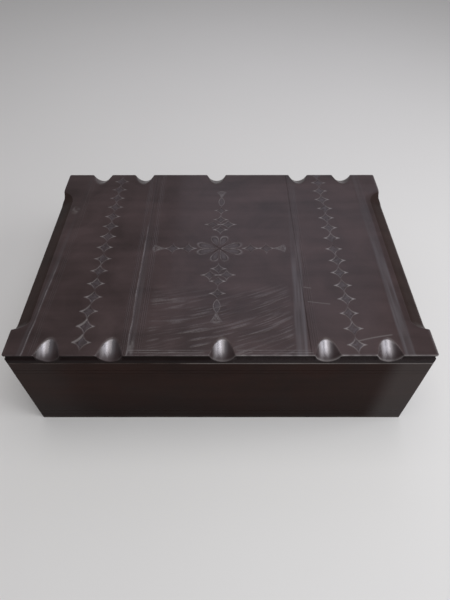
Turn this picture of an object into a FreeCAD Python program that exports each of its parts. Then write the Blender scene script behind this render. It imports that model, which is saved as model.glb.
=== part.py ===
"""Leather-covered dowry chest with a scooped, hinged slab lid.

Millimetres, +Z up, +X to the chest's right, -Y to its front. The origin is at the middle of the
underside. Every driving dimension is a cell of the sheet, and each piece follows those cells.
"""
import FreeCAD, Part
import math
import os
import re
from types import SimpleNamespace

import Sketcher
from FreeCAD import Placement, Rotation, Vector

SIZES = {
    # Overall sizes, over the leather
    "chest_width": 1000,
    "chest_depth": 700,
    "body_height": 283.5,
    "lid_height": 32,
    "seam_gap": 0.5,
    "corner_radius": 6,
    "leather_thickness": 2.5,
    # Carcass
    "board_thickness": 18,
    "rabbet_depth": 6,
    "cleat_size": 20,
    "bottom_thickness": 14,
    "bottom_plank_count": 5,
    "plank_gap": 0.4,
    "leather_turn_in": 22,
    "corner_wrap": 14,
    # Lid frame and panel
    "rail_width": 75,
    "panel_thickness": 12,
    "panel_rebate": 15,
    "lid_plank_count": 5,
    "tenon_length": 25,
    "tenon_width": 40,
    "tenon_thickness": 9,
    "tenon_inset": 11,
    "batten_width": 60,
    "batten_thickness": 10,
    "batten_offset": 200,
    "lap_offset": 210,
    "leather_turn_under": 30,
    # Cove round the lid's rim
    "cove_radius": 10,
    "cove_sink": 4,
    "cove_drop": 11,
    # Scoops in the lid's edges
    "scoop_radius": 32,
    "scoop_depth": 24,
    "scoop_reach": 49,
    "front_scoop_outer_left": -398,
    "front_scoop_inner_left": -254,
    "front_scoop_middle": 5,
    "front_scoop_inner_right": 247,
    "front_scoop_outer_right": 390,
    "back_scoop_outer_left": -391,
    "back_scoop_inner_left": -253,
    "back_scoop_middle": -17,
    "back_scoop_inner_right": 250,
    "back_scoop_outer_right": 393,
    "end_scoop_depth": 22,
    "end_scoop_reach": 40,
    "end_scoop_length": 462,
    "end_scoop_shift": 14.5,
    "end_scoop_far_radius": 100,
    # Butt hinges
    "hinge_offset": 320,
    "hinge_length": 72,
    "hinge_leaf_depth": 20,
    "hinge_leaf_thickness": 3,
    "hinge_knuckle_count": 5,
    "hinge_knuckle_radius": 4,
    "hinge_knuckle_gap": 0.3,
    "hinge_back_gap": 0.5,
    "hinge_pin_radius": 1.6,
    "hinge_pin_clearance": 0.05,
    "hinge_pin_head_radius": 3,
    "hinge_pin_head_length": 1.5,
    "hinge_screw_spread": 22,
    "hinge_screw_inset": 12,
    # Slotted stays
    "stay_arm": 125,
    "stay_spread_angle": 24,
    "lid_open_angle": 100,
    "stay_drop": 14,
    "stay_bar_width": 14,
    "stay_bar_thickness": 2.5,
    "stay_stand_off": 12,
    "stay_slot_clearance": 0.3,
    "stay_end_margin": 8,
    "stay_side_gap": 0.3,
    "bracket_thickness": 2,
    "bracket_plate_width": 20,
    "bracket_plate_length": 46,
    "bracket_ear_width": 16,
    "bracket_screw_spread": 15,
    "rivet_radius": 2.4,
    "rivet_clearance": 0.05,
    "rivet_head_radius": 5,
    "rivet_head_length": 1.2,
    "stud_neck_radius": 3,
    "stud_collar_radius": 5,
    "stud_head_radius": 6,
    "stud_head_length": 2,
    "stud_screw_radius": 2,
    "stud_screw_length": 12,
    # Screws, nails and tacks
    "screw_radius": 1.7,
    "screw_head_radius": 3.4,
    "screw_head_length": 2,
    "screw_length": 7.5,
    "nail_radius": 1.5,
    "corner_nail_length": 45,
    "corner_nail_rows": 5,
    "corner_nail_margin": 35,
    "bottom_nail_length": 30,
    "plank_nail_length": 21,
    "plank_nail_margin": 28,
    "tack_head_radius": 3.5,
    "tack_head_length": 1.2,
    "tack_shank_radius": 0.8,
    "tack_shank_length": 9,
    "tack_spacing": 62,
    "rim_tack_margin": 8,
    "lid_tack_margin": 4,
    # How far a cutting tool runs past what it cuts
    "overrun": 5,
}

# Heights and half sizes that several pieces share, in words of the sheet
BOARD_TOP = "(body_height - leather_thickness)"
LID_BOTTOM = "(body_height + seam_gap)"
LID_TOP = "(body_height + seam_gap + lid_height)"
LID_WOOD_BOTTOM = "(body_height + seam_gap + leather_thickness)"
LID_WOOD_TOP = "(body_height + seam_gap + lid_height - leather_thickness)"
PANEL_BOTTOM = "(body_height + seam_gap + lid_height - leather_thickness - panel_thickness)"
WOOD_X = "(chest_width / 2 - leather_thickness)"
WOOD_Y = "(chest_depth / 2 - leather_thickness)"
INSIDE_X = "(chest_width / 2 - leather_thickness - board_thickness)"
INSIDE_Y = "(chest_depth / 2 - leather_thickness - board_thickness)"
CLEAT_X = "(chest_width / 2 - leather_thickness - board_thickness - cleat_size)"
CLEAT_Y = "(chest_depth / 2 - leather_thickness - board_thickness - cleat_size)"
FRAME_X = "(chest_width / 2 - leather_thickness - rail_width)"
FRAME_Y = "(chest_depth / 2 - leather_thickness - rail_width)"
HINGE_Y = "(chest_depth / 2 + hinge_knuckle_radius + hinge_back_gap)"
HINGE_Z = "(body_height + seam_gap / 2)"

os.makedirs("parts", exist_ok=True)
doc = FreeCAD.newDocument("dowry_chest")
sheet = doc.addObject("Spreadsheet::Sheet", "sizes")
for row, (alias, number) in enumerate(SIZES.items(), start=1):
    sheet.set(f"A{row}", alias)
    sheet.set(f"B{row}", str(number))
    sheet.setAlias(f"B{row}", alias)
doc.recompute()
size = SimpleNamespace(**{alias: float(sheet.get(alias)) for alias in SIZES})

pieces = {}
# A turned piece starts at this angle, so that its axis holds until its own angle is bound
STARTING_TURN = 45


def formula(words):
    """The words of the sheet as an expression that the document understands."""
    return re.sub(r"[a-z][a-z_]*", lambda word: f"sizes.{word[0]}" if word[0] in SIZES else word[0], words)


def bind(thing, bindings):
    """Ties properties of a document object to words of the sheet."""
    for path, words in bindings.items():
        thing.setExpression(path, formula(words))
    return thing


def keep(node, thing):
    """Names a finished piece and puts it on the list of those that are written out."""
    thing.Label = node
    pieces[node] = thing
    return thing


def put(thing, x, y, z, axis=None, angle=None):
    """Binds a place, and a turn about one axis where there is one."""
    if axis is not None:
        thing.Placement = Placement(Vector(), Rotation(axis, STARTING_TURN))
        bind(thing, {"Placement.Rotation.Angle": angle})
    return bind(thing, {"Placement.Base.x": x, "Placement.Base.y": y, "Placement.Base.z": z})


def span_box(name, x, y, z):
    """A box between two values along each axis."""
    box = doc.addObject("Part::Box", name)
    bind(box, {"Length": f"{x[1]} - ({x[0]})", "Width": f"{y[1]} - ({y[0]})", "Height": f"{z[1]} - ({z[0]})"})
    return put(box, x[0], y[0], z[0])


def rod(name, radius, length, x, y, z, axis=None, angle=None):
    """A round bar that starts at a point and runs up, or along its turned axis."""
    bar = doc.addObject("Part::Cylinder", name)
    bind(bar, {"Radius": radius, "Height": length})
    return put(bar, x, y, z, axis, angle)


def joined(name, things):
    """One solid from several that touch or overlap."""
    fused = doc.addObject("Part::MultiFuse", name)
    fused.Shapes = things
    fused.Refine = True
    return fused


def together(name, things):
    """Several solids kept apart in one object."""
    group = doc.addObject("Part::Compound", name)
    group.Links = things
    return group


def carved(name, base, tools):
    """The base with each tool cut away in turn."""
    for step, tool in enumerate(tools, start=1):
        cut = doc.addObject("Part::Cut", name if step == len(tools) else f"{name}_cut_{step}")
        cut.Base = base
        cut.Tool = tool
        base = cut
    return base


def shared(name, first, second):
    """What two solids have in common."""
    common = doc.addObject("Part::Common", name)
    common.Base = first
    common.Tool = second
    return common


def mirrored(name, source, normal):
    """A copy on the other side of the plane through the origin."""
    copy = doc.addObject("Part::Mirroring", name)
    copy.Source = source
    copy.Normal = normal
    return copy



AXIS_X = Vector(1, 0, 0)
AXIS_Y = Vector(0, 1, 0)
AXIS_Z = Vector(0, 0, 1)


def bound_constraint(sketch, name, words, *parts):
    """A dimension of a sketch that follows words of the sheet."""
    number = sketch.addConstraint(Sketcher.Constraint(*parts))
    sketch.renameConstraint(number, name)
    bind(sketch, {f"Constraints.{name}": words})


def flat_sketch(body, name, role):
    """An empty sketch on one of a body's own origin planes."""
    sketch = body.newObject("Sketcher::SketchObject", name)
    plane = next(feature for feature in body.Origin.OriginFeatures if feature.Role == role)
    sketch.AttachmentSupport = (plane, [""])
    sketch.MapMode = "FlatFace"
    return sketch


def rounded_slab(name, half_width, half_depth, radius, bottom, top):
    """A slab centred on the origin, with its four upright corners rounded."""
    body = doc.addObject("PartDesign::Body", name)
    sketch = flat_sketch(body, f"{name}_plan", "XY_Plane")
    corners = [Vector(-1, -1, 0), Vector(1, -1, 0), Vector(1, 1, 0), Vector(-1, 1, 0)]
    for start, end in zip(corners, corners[1:] + corners[:1]):
        sketch.addGeometry(Part.LineSegment(start * size.chest_depth, end * size.chest_depth), False)
    for line in range(len(corners)):
        direction = "Vertical" if line % 2 else "Horizontal"
        sketch.addConstraint(Sketcher.Constraint(direction, line))
        sketch.addConstraint(Sketcher.Constraint("Coincident", line, 2, (line + 1) % len(corners), 1))
    sketch.addConstraint(Sketcher.Constraint("Symmetric", 0, 1, 1, 2, -1, 1))
    bound_constraint(sketch, "width", f"2 * ({half_width})", "DistanceX", 0, 1, 0, 2, size.chest_depth)
    bound_constraint(sketch, "depth", f"2 * ({half_depth})", "DistanceY", 1, 1, 1, 2, size.chest_depth)
    pad = body.newObject("PartDesign::Pad", f"{name}_pad")
    pad.Profile = sketch
    bind(pad, {"Length": f"{top} - ({bottom})"})
    doc.recompute()
    upright = [
        f"Edge{number}" for number, edge in enumerate(pad.Shape.Edges, start=1)
        if abs(edge.tangentAt(edge.FirstParameter).z) > abs(edge.tangentAt(edge.FirstParameter).x)
        and abs(edge.tangentAt(edge.FirstParameter).z) > abs(edge.tangentAt(edge.FirstParameter).y)
    ]
    fillet = body.newObject("PartDesign::Fillet", f"{name}_corners")
    fillet.Base = (pad, upright)
    bind(fillet, {"Radius": radius})
    return put(body, "0", "0", bottom)


# The lid's shape: a slab with a cove round its rim and scoops in its edges

FRONT_SLOPE = "atan(scoop_depth / scoop_reach)"
END_SLOPE = "atan(end_scoop_depth / end_scoop_reach)"


def coves(name, grow):
    """Cutters for the cove round the rim: one pair along X, one pair along Y."""
    radius = f"cove_radius + {grow}"
    drop = f"{LID_TOP} - cove_drop"
    front = rod(f"{name}_front", radius, "chest_width + 2 * overrun", "-(chest_width / 2 + overrun)",
                "-(chest_depth / 2 + cove_radius - cove_sink)", drop, AXIS_Y, "90 deg")
    left = rod(f"{name}_left", radius, "chest_depth + 2 * overrun",
               "-(chest_width / 2 + cove_radius - cove_sink)", "-(chest_depth / 2 + overrun)", drop,
               AXIS_X, "-90 deg")
    along = together(f"{name}_along", [front, mirrored(f"{name}_back", front, AXIS_Y)])
    across = together(f"{name}_across", [left, mirrored(f"{name}_right", left, AXIS_X)])
    return [along, across]


def edge_scoops(name, grow):
    """Cutters for the round scoops of the two long edges, which a hand has placed a little unevenly.

    Both rows are made along the front edge, and the back's is then mirrored to its own edge.
    """
    rows = {
        edge: together(f"{name}_{edge}_row", [
            rod(f"{name}_{offset}", f"scoop_radius + {grow}",
                "sqrt(scoop_reach ^ 2 + scoop_depth ^ 2) + scoop_radius", offset,
                f"-(chest_depth / 2) + scoop_reach - scoop_radius * sin({FRONT_SLOPE})",
                f"{LID_TOP} + scoop_radius * cos({FRONT_SLOPE})", AXIS_X, f"90 deg + {FRONT_SLOPE}")
            for offset in SIZES if offset.startswith(f"{edge}_scoop_")])
        for edge in ("front", "back")
    }
    return [rows["front"], mirrored(f"{name}_back", rows["back"], AXIS_Y)]


def end_scoops(name, grow):
    """Cutters for the long shallow scoop of each end: its flat floor fades out behind."""
    run = "sqrt(end_scoop_reach ^ 2 + end_scoop_depth ^ 2) + scoop_radius"
    start = "-(chest_width / 2) + end_scoop_reach"
    turn = f"-90 deg - {END_SLOPE}"
    rounds = [
        rod(f"{name}_{side}", f"{radius} + {grow}", run, f"{start} - {radius} * sin({END_SLOPE})",
            f"{sign} * end_scoop_length / 2 - end_scoop_shift",
            f"{LID_TOP} + {radius} * cos({END_SLOPE})", AXIS_Y, turn)
        for side, sign, radius in (("near", -1, "scoop_radius"), ("far", 1, "end_scoop_far_radius"))
    ]
    floor = doc.addObject("Part::Box", f"{name}_floor")
    bind(floor, {"Length": f"2 * (scoop_radius + {grow})", "Width": "end_scoop_length", "Height": run})
    put(floor, f"{start} + {grow} * sin({END_SLOPE})", "-(end_scoop_length / 2) - end_scoop_shift",
        f"{LID_TOP} - {grow} * cos({END_SLOPE})", AXIS_Y, turn)
    left = joined(f"{name}_left", [*rounds, floor])
    return [left, mirrored(f"{name}_right", left, AXIS_X)]


def lid_block(name, inset, bottom, top):
    """The whole lid's shape, drawn in by an inset."""
    slab = rounded_slab(f"{name}_slab", f"chest_width / 2 - {inset}", f"chest_depth / 2 - {inset}",
                        f"corner_radius - {inset}", bottom, top)
    tools = coves(f"{name}_cove", inset) + edge_scoops(f"{name}_scoop", inset)
    return carved(name, slab, tools + end_scoops(f"{name}_end_scoop", inset))


lid_outside = lid_block("lid_outside", "0", LID_BOTTOM, LID_TOP)
lid_wood = lid_block("lid_wood", "leather_thickness", LID_WOOD_BOTTOM, LID_WOOD_TOP)


# Fasteners: each kind is one object that holds all its separate solids

wood_x = size.chest_width / 2 - size.leather_thickness
wood_y = size.chest_depth / 2 - size.leather_thickness
inside_x = wood_x - size.board_thickness
inside_y = wood_y - size.board_thickness
panel_x = wood_x - size.rail_width + size.panel_rebate
panel_y = wood_y - size.rail_width + size.panel_rebate
board_top = size.body_height - size.leather_thickness
lid_bottom = size.body_height + size.seam_gap
lid_wood_bottom = lid_bottom + size.leather_thickness
lid_wood_top = lid_bottom + size.lid_height - size.leather_thickness
hinge_centres = (-size.hinge_offset, 0, size.hinge_offset)
bottom_plank_pitch = 2 * inside_x / size.bottom_plank_count
lid_plank_pitch = 2 * panel_y / size.lid_plank_count


def group_of(node, solids):
    """All the fasteners of one kind, as one piece."""
    group = doc.addObject("Part::Feature", node)
    group.Shape = Part.makeCompound(solids)
    return keep(node, group)


def nail(point, direction, length):
    """A headless nail, driven flush."""
    return Part.makeCylinder(size.nail_radius, length, point, direction)


def screw(point, direction):
    """A countersunk screw whose flat head starts at the point."""
    head = Part.makeCone(size.screw_head_radius, size.screw_radius, size.screw_head_length, point, direction)
    neck = point + direction * size.screw_head_length
    shank = Part.makeCylinder(size.screw_radius, size.screw_length, neck, direction)
    return head.fuse(shank).removeSplitter()


def tack(point, direction):
    """A flat-headed tack: its shank goes in along the direction, its head stands on the surface."""
    head = Part.makeCylinder(size.tack_head_radius, size.tack_head_length,
                             point - direction * size.tack_head_length, direction)
    shank = Part.makeCylinder(size.tack_shank_radius, size.tack_shank_length, point, direction)
    return head.fuse(shank).removeSplitter()


def spread(half_span, spacing):
    """Evenly spaced places from one end of a span to the other, both ends included."""
    steps = max(1, round(2 * half_span / spacing))
    return [half_span * (2 * step / steps - 1) for step in range(steps + 1)]


def plank_places(half_span, pitch, count):
    """Two nail places in each plank of a row."""
    middles = [-half_span + pitch * (number + 1 / 2) for number in range(int(count))]
    return [middle + side * size.plank_nail_margin for middle in middles for side in (-1, 1)]


def ring_of_tacks(x_limit, y_limit, place):
    """Tacks round a rectangle; place makes one from its spot and its outward direction."""
    rows = []
    for x in spread(x_limit - size.tack_spacing / 2, size.tack_spacing):
        rows += [place(Vector(x, side * y_limit, 0), Vector(0, side, 0)) for side in (-1, 1)]
    for y in spread(y_limit - size.tack_spacing / 2, size.tack_spacing):
        rows += [place(Vector(side * x_limit, y, 0), Vector(side, 0, 0)) for side in (-1, 1)]
    return rows


nail_rows = [
    size.corner_nail_margin + step * (board_top - 2 * size.corner_nail_margin) / (size.corner_nail_rows - 1)
    for step in range(int(size.corner_nail_rows))
]
carcass_nails = group_of("carcass_nails", [
    nail(Vector(side * (wood_x - size.board_thickness / 2), face * wood_y, height), Vector(0, -face, 0),
         size.corner_nail_length)
    for side in (-1, 1) for face in (-1, 1) for height in nail_rows
])
bottom_nails = group_of("bottom_nails", [
    nail(Vector(x, face * (inside_y - size.cleat_size / 2), size.cleat_size + size.bottom_thickness),
         -AXIS_Z, size.bottom_nail_length)
    for x in plank_places(inside_x, bottom_plank_pitch, size.bottom_plank_count) for face in (-1, 1)
])
lid_nails = group_of("lid_nails", [
    nail(Vector(side * x, y, lid_wood_top), -AXIS_Z, size.plank_nail_length)
    for y in plank_places(panel_y, lid_plank_pitch, size.lid_plank_count)
    for x in (panel_x - size.panel_rebate / 2, size.batten_offset) for side in (-1, 1)
])
rim_tack_height = board_top - size.leather_turn_in + size.rim_tack_margin
rim_tacks = group_of("rim_tacks", ring_of_tacks(
    inside_x - size.leather_thickness, inside_y - size.leather_thickness,
    lambda spot, outward: tack(spot + AXIS_Z * rim_tack_height, outward)))
lid_tack_inset = size.leather_turn_under - size.lid_tack_margin
lid_tacks = group_of("lid_tacks", ring_of_tacks(
    wood_x - lid_tack_inset, wood_y - lid_tack_inset,
    lambda spot, outward: tack(spot + AXIS_Z * lid_bottom, AXIS_Z)))
hinge_screw_y = size.chest_depth / 2 - size.hinge_screw_inset
lower_hinge_screws = group_of("lower_hinge_screws", [
    screw(Vector(centre + side * size.hinge_screw_spread, hinge_screw_y, size.body_height), -AXIS_Z)
    for centre in hinge_centres for side in (-1, 1)
])
upper_hinge_screws = group_of("upper_hinge_screws", [
    screw(Vector(centre + side * size.hinge_screw_spread, hinge_screw_y, lid_bottom), AXIS_Z)
    for centre in hinge_centres for side in (-1, 1)
])


# Butt hinges: the lower leaf is let into the body's rim, the upper one into the lid


def hinge_leaf(node, centre, bottom, knuckles, screws):
    """A leaf with its knuckles, bored for the pin and countersunk for its screws."""
    top = f"{bottom} + hinge_leaf_thickness"
    plate = span_box(f"{node}_plate", (f"{centre} - hinge_length / 2", f"{centre} + hinge_length / 2"),
                     ("chest_depth / 2 - hinge_leaf_depth", "chest_depth / 2"), (bottom, top))
    solids = [plate]
    for number in knuckles:
        start = f"{centre} - hinge_length / 2 + {number} * hinge_length / hinge_knuckle_count"
        near = f"{start} + hinge_knuckle_gap / 2"
        far = f"{start} + hinge_length / hinge_knuckle_count - hinge_knuckle_gap / 2"
        solids.append(
            span_box(f"{node}_tab_{number}", (near, far), ("chest_depth / 2", HINGE_Y), (bottom, top)))
        solids.append(rod(f"{node}_knuckle_{number}", "hinge_knuckle_radius", f"{far} - ({near})", near,
                          HINGE_Y, HINGE_Z, AXIS_Y, "90 deg"))
    bore = rod(f"{node}_bore", "hinge_pin_radius + hinge_pin_clearance", "hinge_length + 2 * overrun",
               f"{centre} - hinge_length / 2 - overrun", HINGE_Y, HINGE_Z, AXIS_Y, "90 deg")
    keep(node, carved(node, joined(f"{node}_blank", solids), [bore, screws]))
    return plate


def hinge_pin(node, centre):
    """The pin, with a round head outside each end knuckle."""
    end = f"{centre} + hinge_length / 2"
    start = f"{centre} - hinge_length / 2"
    shank = rod(f"{node}_shank", "hinge_pin_radius", "hinge_length", start, HINGE_Y, HINGE_Z, AXIS_Y,
                "90 deg")
    heads = [
        rod(f"{node}_{side}", "hinge_pin_head_radius", "hinge_pin_head_length", place, HINGE_Y, HINGE_Z,
            AXIS_Y, "90 deg")
        for side, place in (("first", f"{start} - hinge_pin_head_length"), ("last", end))
    ]
    keep(node, joined(node, [shank, *heads]))


lower_seats, upper_seats = [], []
for side, centre in (("left", "-hinge_offset"), ("middle", "0"), ("right", "hinge_offset")):
    lower_seats.append(hinge_leaf(f"{side}_hinge_lower_leaf", centre, "body_height - hinge_leaf_thickness",
                                  range(0, int(size.hinge_knuckle_count), 2), lower_hinge_screws))
    upper_seats.append(hinge_leaf(f"{side}_hinge_upper_leaf", centre, LID_BOTTOM,
                                  range(1, int(size.hinge_knuckle_count), 2), upper_hinge_screws))
    hinge_pin(f"{side}_hinge_pin", centre)
lower_hinge_seats = together("lower_hinge_seats", lower_seats)
upper_hinge_seats = together("upper_hinge_seats", upper_seats)


# Slotted stays: the bar hangs from the lid's bracket and slides on a stud in the end board. Both
# pivots are as far from the hinge pin, so the bar turns half as far as the lid

STAY_DIP = "asin((stay_drop - leather_thickness - seam_gap / 2) / stay_arm)"
STAY_SPREAD = "stay_spread_angle * 1 deg"
PIVOT_Y = f"{HINGE_Y} - stay_arm * cos({STAY_DIP})"
PIVOT_Z = f"{LID_WOOD_BOTTOM} - stay_drop"
STUD_Y = f"{HINGE_Y} - stay_arm * cos({STAY_DIP} + {STAY_SPREAD})"
STUD_Z = f"{HINGE_Z} - stay_arm * sin({STAY_DIP} + {STAY_SPREAD})"
SLOT_NEAR = f"2 * stay_arm * sin({STAY_SPREAD} / 2)"
SLOT_FAR = "2 * stay_arm * sin((stay_spread_angle + lid_open_angle) * 1 deg / 2)"
SLOT_RADIUS = "stud_neck_radius + stay_slot_clearance"
BAR_OUTER_X = f"(-{INSIDE_X} + stay_stand_off)"
BAR_INNER_X = f"(-{INSIDE_X} + stay_stand_off + stay_bar_thickness)"
EAR_OUTER_X = f"(-{INSIDE_X} + stay_stand_off + stay_bar_thickness + stay_side_gap)"
EAR_INNER_X = f"({EAR_OUTER_X} + bracket_thickness)"


def long_round(sketch, name, radius, near, far):
    """A long round-ended outline down the sketch's upright axis, between two depths."""
    first = sketch.GeometryCount
    reach, half = size.stay_arm, size.stay_bar_width / 2
    top, bottom = Vector(), Vector(0, -reach, 0)
    sketch.addGeometry(Part.ArcOfCircle(Part.Circle(top, AXIS_Z, half), 0, math.pi), False)
    sketch.addGeometry(Part.LineSegment(Vector(-half, 0, 0), Vector(-half, -reach, 0)), False)
    sketch.addGeometry(Part.ArcOfCircle(Part.Circle(bottom, AXIS_Z, half), math.pi, 2 * math.pi), False)
    sketch.addGeometry(Part.LineSegment(Vector(half, -reach, 0), Vector(half, 0, 0)), False)
    joints = (("Tangent", 0, 2, 1, 1), ("Tangent", 1, 2, 2, 1), ("Tangent", 2, 2, 3, 1),
              ("Tangent", 3, 2, 0, 1))
    for kind, one, end, other, start in joints:
        sketch.addConstraint(Sketcher.Constraint(kind, first + one, end, first + other, start))
    sketch.addConstraint(Sketcher.Constraint("PointOnObject", first, 3, -2))
    sketch.addConstraint(Sketcher.Constraint("PointOnObject", first + 2, 3, -2))
    sketch.addConstraint(Sketcher.Constraint("Equal", first, first + 2))
    bound_constraint(sketch, f"{name}_radius", radius, "Radius", first, half)
    bound_constraint(sketch, f"{name}_far", far, "DistanceY", first + 2, 3, -1, 1, reach)
    if near is None:
        sketch.addConstraint(Sketcher.Constraint("PointOnObject", first, 3, -1))
    else:
        bound_constraint(sketch, f"{name}_near", near, "DistanceY", first, 3, -1, 1, half)


def stay_bar():
    """The left bar: round-ended, with a hole for its rivet and a slot for its stud."""
    bar = doc.addObject("PartDesign::Body", "left_stay_bar")
    outline = flat_sketch(bar, "stay_bar_outline", "YZ_Plane")
    long_round(outline, "bar", "stay_bar_width / 2", None,
               f"{SLOT_FAR} + {SLOT_RADIUS} + stay_end_margin - stay_bar_width / 2")
    pad = bar.newObject("PartDesign::Pad", "stay_bar_pad")
    pad.Profile = outline
    bind(pad, {"Length": "stay_bar_thickness"})
    openings = flat_sketch(bar, "stay_bar_openings", "YZ_Plane")
    long_round(openings, "slot", SLOT_RADIUS, SLOT_NEAR, SLOT_FAR)
    openings.addGeometry(Part.Circle(Vector(), AXIS_Z, size.rivet_radius), False)
    hole = openings.GeometryCount - 1
    openings.addConstraint(Sketcher.Constraint("Coincident", hole, 3, -1, 1))
    bound_constraint(openings, "hole_radius", "rivet_radius + rivet_clearance", "Radius", hole,
                     size.rivet_radius)
    pocket = bar.newObject("PartDesign::Pocket", "stay_bar_pocket")
    pocket.Profile = openings
    pocket.Type = "ThroughAll"
    pocket.Midplane = True
    put(bar, BAR_OUTER_X, PIVOT_Y, PIVOT_Z, AXIS_X, f"{STAY_DIP} + {STAY_SPREAD} / 2")
    return bar


def stepped_rod(name, y, z, steps):
    """A turned piece along X: each step has a radius, a start and an end."""
    return joined(name, [
        rod(f"{name}_{number}", radius, f"{end} - ({start})", start, y, z, AXIS_Y, "90 deg")
        for number, (radius, start, end) in enumerate(steps, start=1)
    ])


def stay_rivet():
    """The rivet that the left bar turns on."""
    outer = f"({BAR_OUTER_X} - stay_side_gap)"
    return stepped_rod("left_stay_rivet", PIVOT_Y, PIVOT_Z, [
        ("rivet_head_radius", f"{outer} - rivet_head_length", outer),
        ("rivet_radius", outer, EAR_INNER_X),
        ("rivet_head_radius", EAR_INNER_X, f"{EAR_INNER_X} + rivet_head_length"),
    ])


def stay_stud():
    """The left stud: a screw in the end board, a collar, a neck in the slot and a head."""
    collar_end = f"({BAR_OUTER_X} - stay_side_gap)"
    neck_end = f"({BAR_INNER_X} + stay_side_gap)"
    return stepped_rod("left_stay_stud", STUD_Y, STUD_Z, [
        ("stud_screw_radius", f"-{INSIDE_X} - stud_screw_length", f"-{INSIDE_X}"),
        ("stud_collar_radius", f"-{INSIDE_X}", collar_end),
        ("stud_neck_radius", collar_end, neck_end),
        ("stud_head_radius", neck_end, f"{neck_end} + stud_head_length"),
    ])


def stay_bracket(rivet, screws):
    """The left bracket: a plate under the rail and an ear that hangs beside the bar."""
    plate = span_box("bracket_plate", (EAR_OUTER_X, f"{EAR_OUTER_X} + bracket_plate_width"),
                     (f"{PIVOT_Y} - bracket_plate_length / 2", f"{PIVOT_Y} + bracket_plate_length / 2"),
                     (f"{LID_WOOD_BOTTOM} - bracket_thickness", LID_WOOD_BOTTOM))
    ear = span_box("bracket_ear", (EAR_OUTER_X, EAR_INNER_X),
                   (f"{PIVOT_Y} - bracket_ear_width / 2", f"{PIVOT_Y} + bracket_ear_width / 2"),
                   (PIVOT_Z, LID_WOOD_BOTTOM))
    tip = rod("bracket_tip", "bracket_ear_width / 2", "bracket_thickness", EAR_OUTER_X, PIVOT_Y, PIVOT_Z,
              AXIS_Y, "90 deg")
    return carved("left_stay_bracket", joined("bracket_blank", [plate, ear, tip]), [rivet, screws])


stay_dip = math.asin((size.stay_drop - size.leather_thickness - size.seam_gap / 2) / size.stay_arm)
hinge_y = size.chest_depth / 2 + size.hinge_knuckle_radius + size.hinge_back_gap
pivot_y = hinge_y - size.stay_arm * math.cos(stay_dip)
ear_x = inside_x - size.stay_stand_off - size.stay_bar_thickness - size.stay_side_gap
bracket_screw_x = ear_x - (size.bracket_plate_width + size.bracket_thickness) / 2
bracket_screws = group_of("stay_bracket_screws", [
    screw(Vector(side * bracket_screw_x, pivot_y + end * size.bracket_screw_spread,
                 lid_wood_bottom - size.bracket_thickness), AXIS_Z)
    for side in (-1, 1) for end in (-1, 1)
])
left_bar = keep("left_stay_bar", stay_bar())
left_rivet = keep("left_stay_rivet", stay_rivet())
left_stud = keep("left_stay_stud", stay_stud())
left_bracket = keep("left_stay_bracket", stay_bracket(left_rivet, bracket_screws))
right_bar = keep("right_stay_bar", mirrored("right_stay_bar", left_bar, AXIS_X))
right_rivet = keep("right_stay_rivet", mirrored("right_stay_rivet", left_rivet, AXIS_X))
right_stud = keep("right_stay_stud", mirrored("right_stay_stud", left_stud, AXIS_X))
right_bracket = keep("right_stay_bracket", mirrored("right_stay_bracket", left_bracket, AXIS_X))


# Carcass: the end boards lie in rabbets of the front and back boards

carcass_block = rounded_slab("carcass_block", WOOD_X, WOOD_Y, "corner_radius - leather_thickness", "0",
                             BOARD_TOP)
FULL_X = (f"-({WOOD_X} + overrun)", f"{WOOD_X} + overrun")


def end_board(node, x, stud):
    """An end board, with holes for the corner nails, the tacks and its stay's stud."""
    blank = span_box(f"{node}_blank", x, (f"-({INSIDE_Y} + rabbet_depth)", f"{INSIDE_Y} + rabbet_depth"),
                     ("0", BOARD_TOP))
    return keep(node, carved(node, blank, [carcass_nails, rim_tacks, stud])), blank


left_end_board, left_end_blank = end_board("left_end_board", (f"-{WOOD_X}", f"-{INSIDE_X}"), left_stud)
right_end_board, right_end_blank = end_board("right_end_board", (INSIDE_X, WOOD_X), right_stud)


def long_board(node, y, tools):
    """The front or back board: rounded at the corners, rabbeted for the end boards."""
    zone = span_box(f"{node}_zone", FULL_X, y, ("0", BOARD_TOP))
    blank = shared(f"{node}_blank", carcass_block, zone)
    return keep(node, carved(node, blank,
                             [left_end_blank, right_end_blank, carcass_nails, rim_tacks, *tools]))


long_board("front_board", (f"-({WOOD_Y} + overrun)", f"-{INSIDE_Y}"), [])
long_board("back_board", (INSIDE_Y, f"{WOOD_Y} + overrun"), [lower_hinge_seats, lower_hinge_screws])


# Bottom: planks from front to back, nailed down on cleats

cleat_height = ("0", "cleat_size")
for side, y in (("front", (f"-{INSIDE_Y}", f"-{CLEAT_Y}")), ("back", (CLEAT_Y, INSIDE_Y))):
    blank = span_box(f"{side}_cleat_blank", (f"-{INSIDE_X}", INSIDE_X), y, cleat_height)
    keep(f"{side}_cleat", carved(f"{side}_cleat", blank, [bottom_nails]))
for side, x in (("left", (f"-{INSIDE_X}", f"-{CLEAT_X}")), ("right", (CLEAT_X, INSIDE_X))):
    keep(f"{side}_cleat", span_box(f"{side}_cleat", x, (f"-{CLEAT_Y}", CLEAT_Y), cleat_height))
for number in range(int(size.bottom_plank_count)):
    start = f"-{INSIDE_X} + {number} * 2 * {INSIDE_X} / bottom_plank_count"
    blank = span_box(f"bottom_plank_blank_{number + 1}",
                     (f"{start} + plank_gap / 2",
                      f"{start} + 2 * {INSIDE_X} / bottom_plank_count - plank_gap / 2"),
                     (f"-{INSIDE_Y}", INSIDE_Y), ("cleat_size", "cleat_size + bottom_thickness"))
    keep(f"bottom_plank_{number + 1}", carved(f"bottom_plank_{number + 1}", blank, [bottom_nails]))


# Body leather: over the outside and the rim, and turned in

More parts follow.
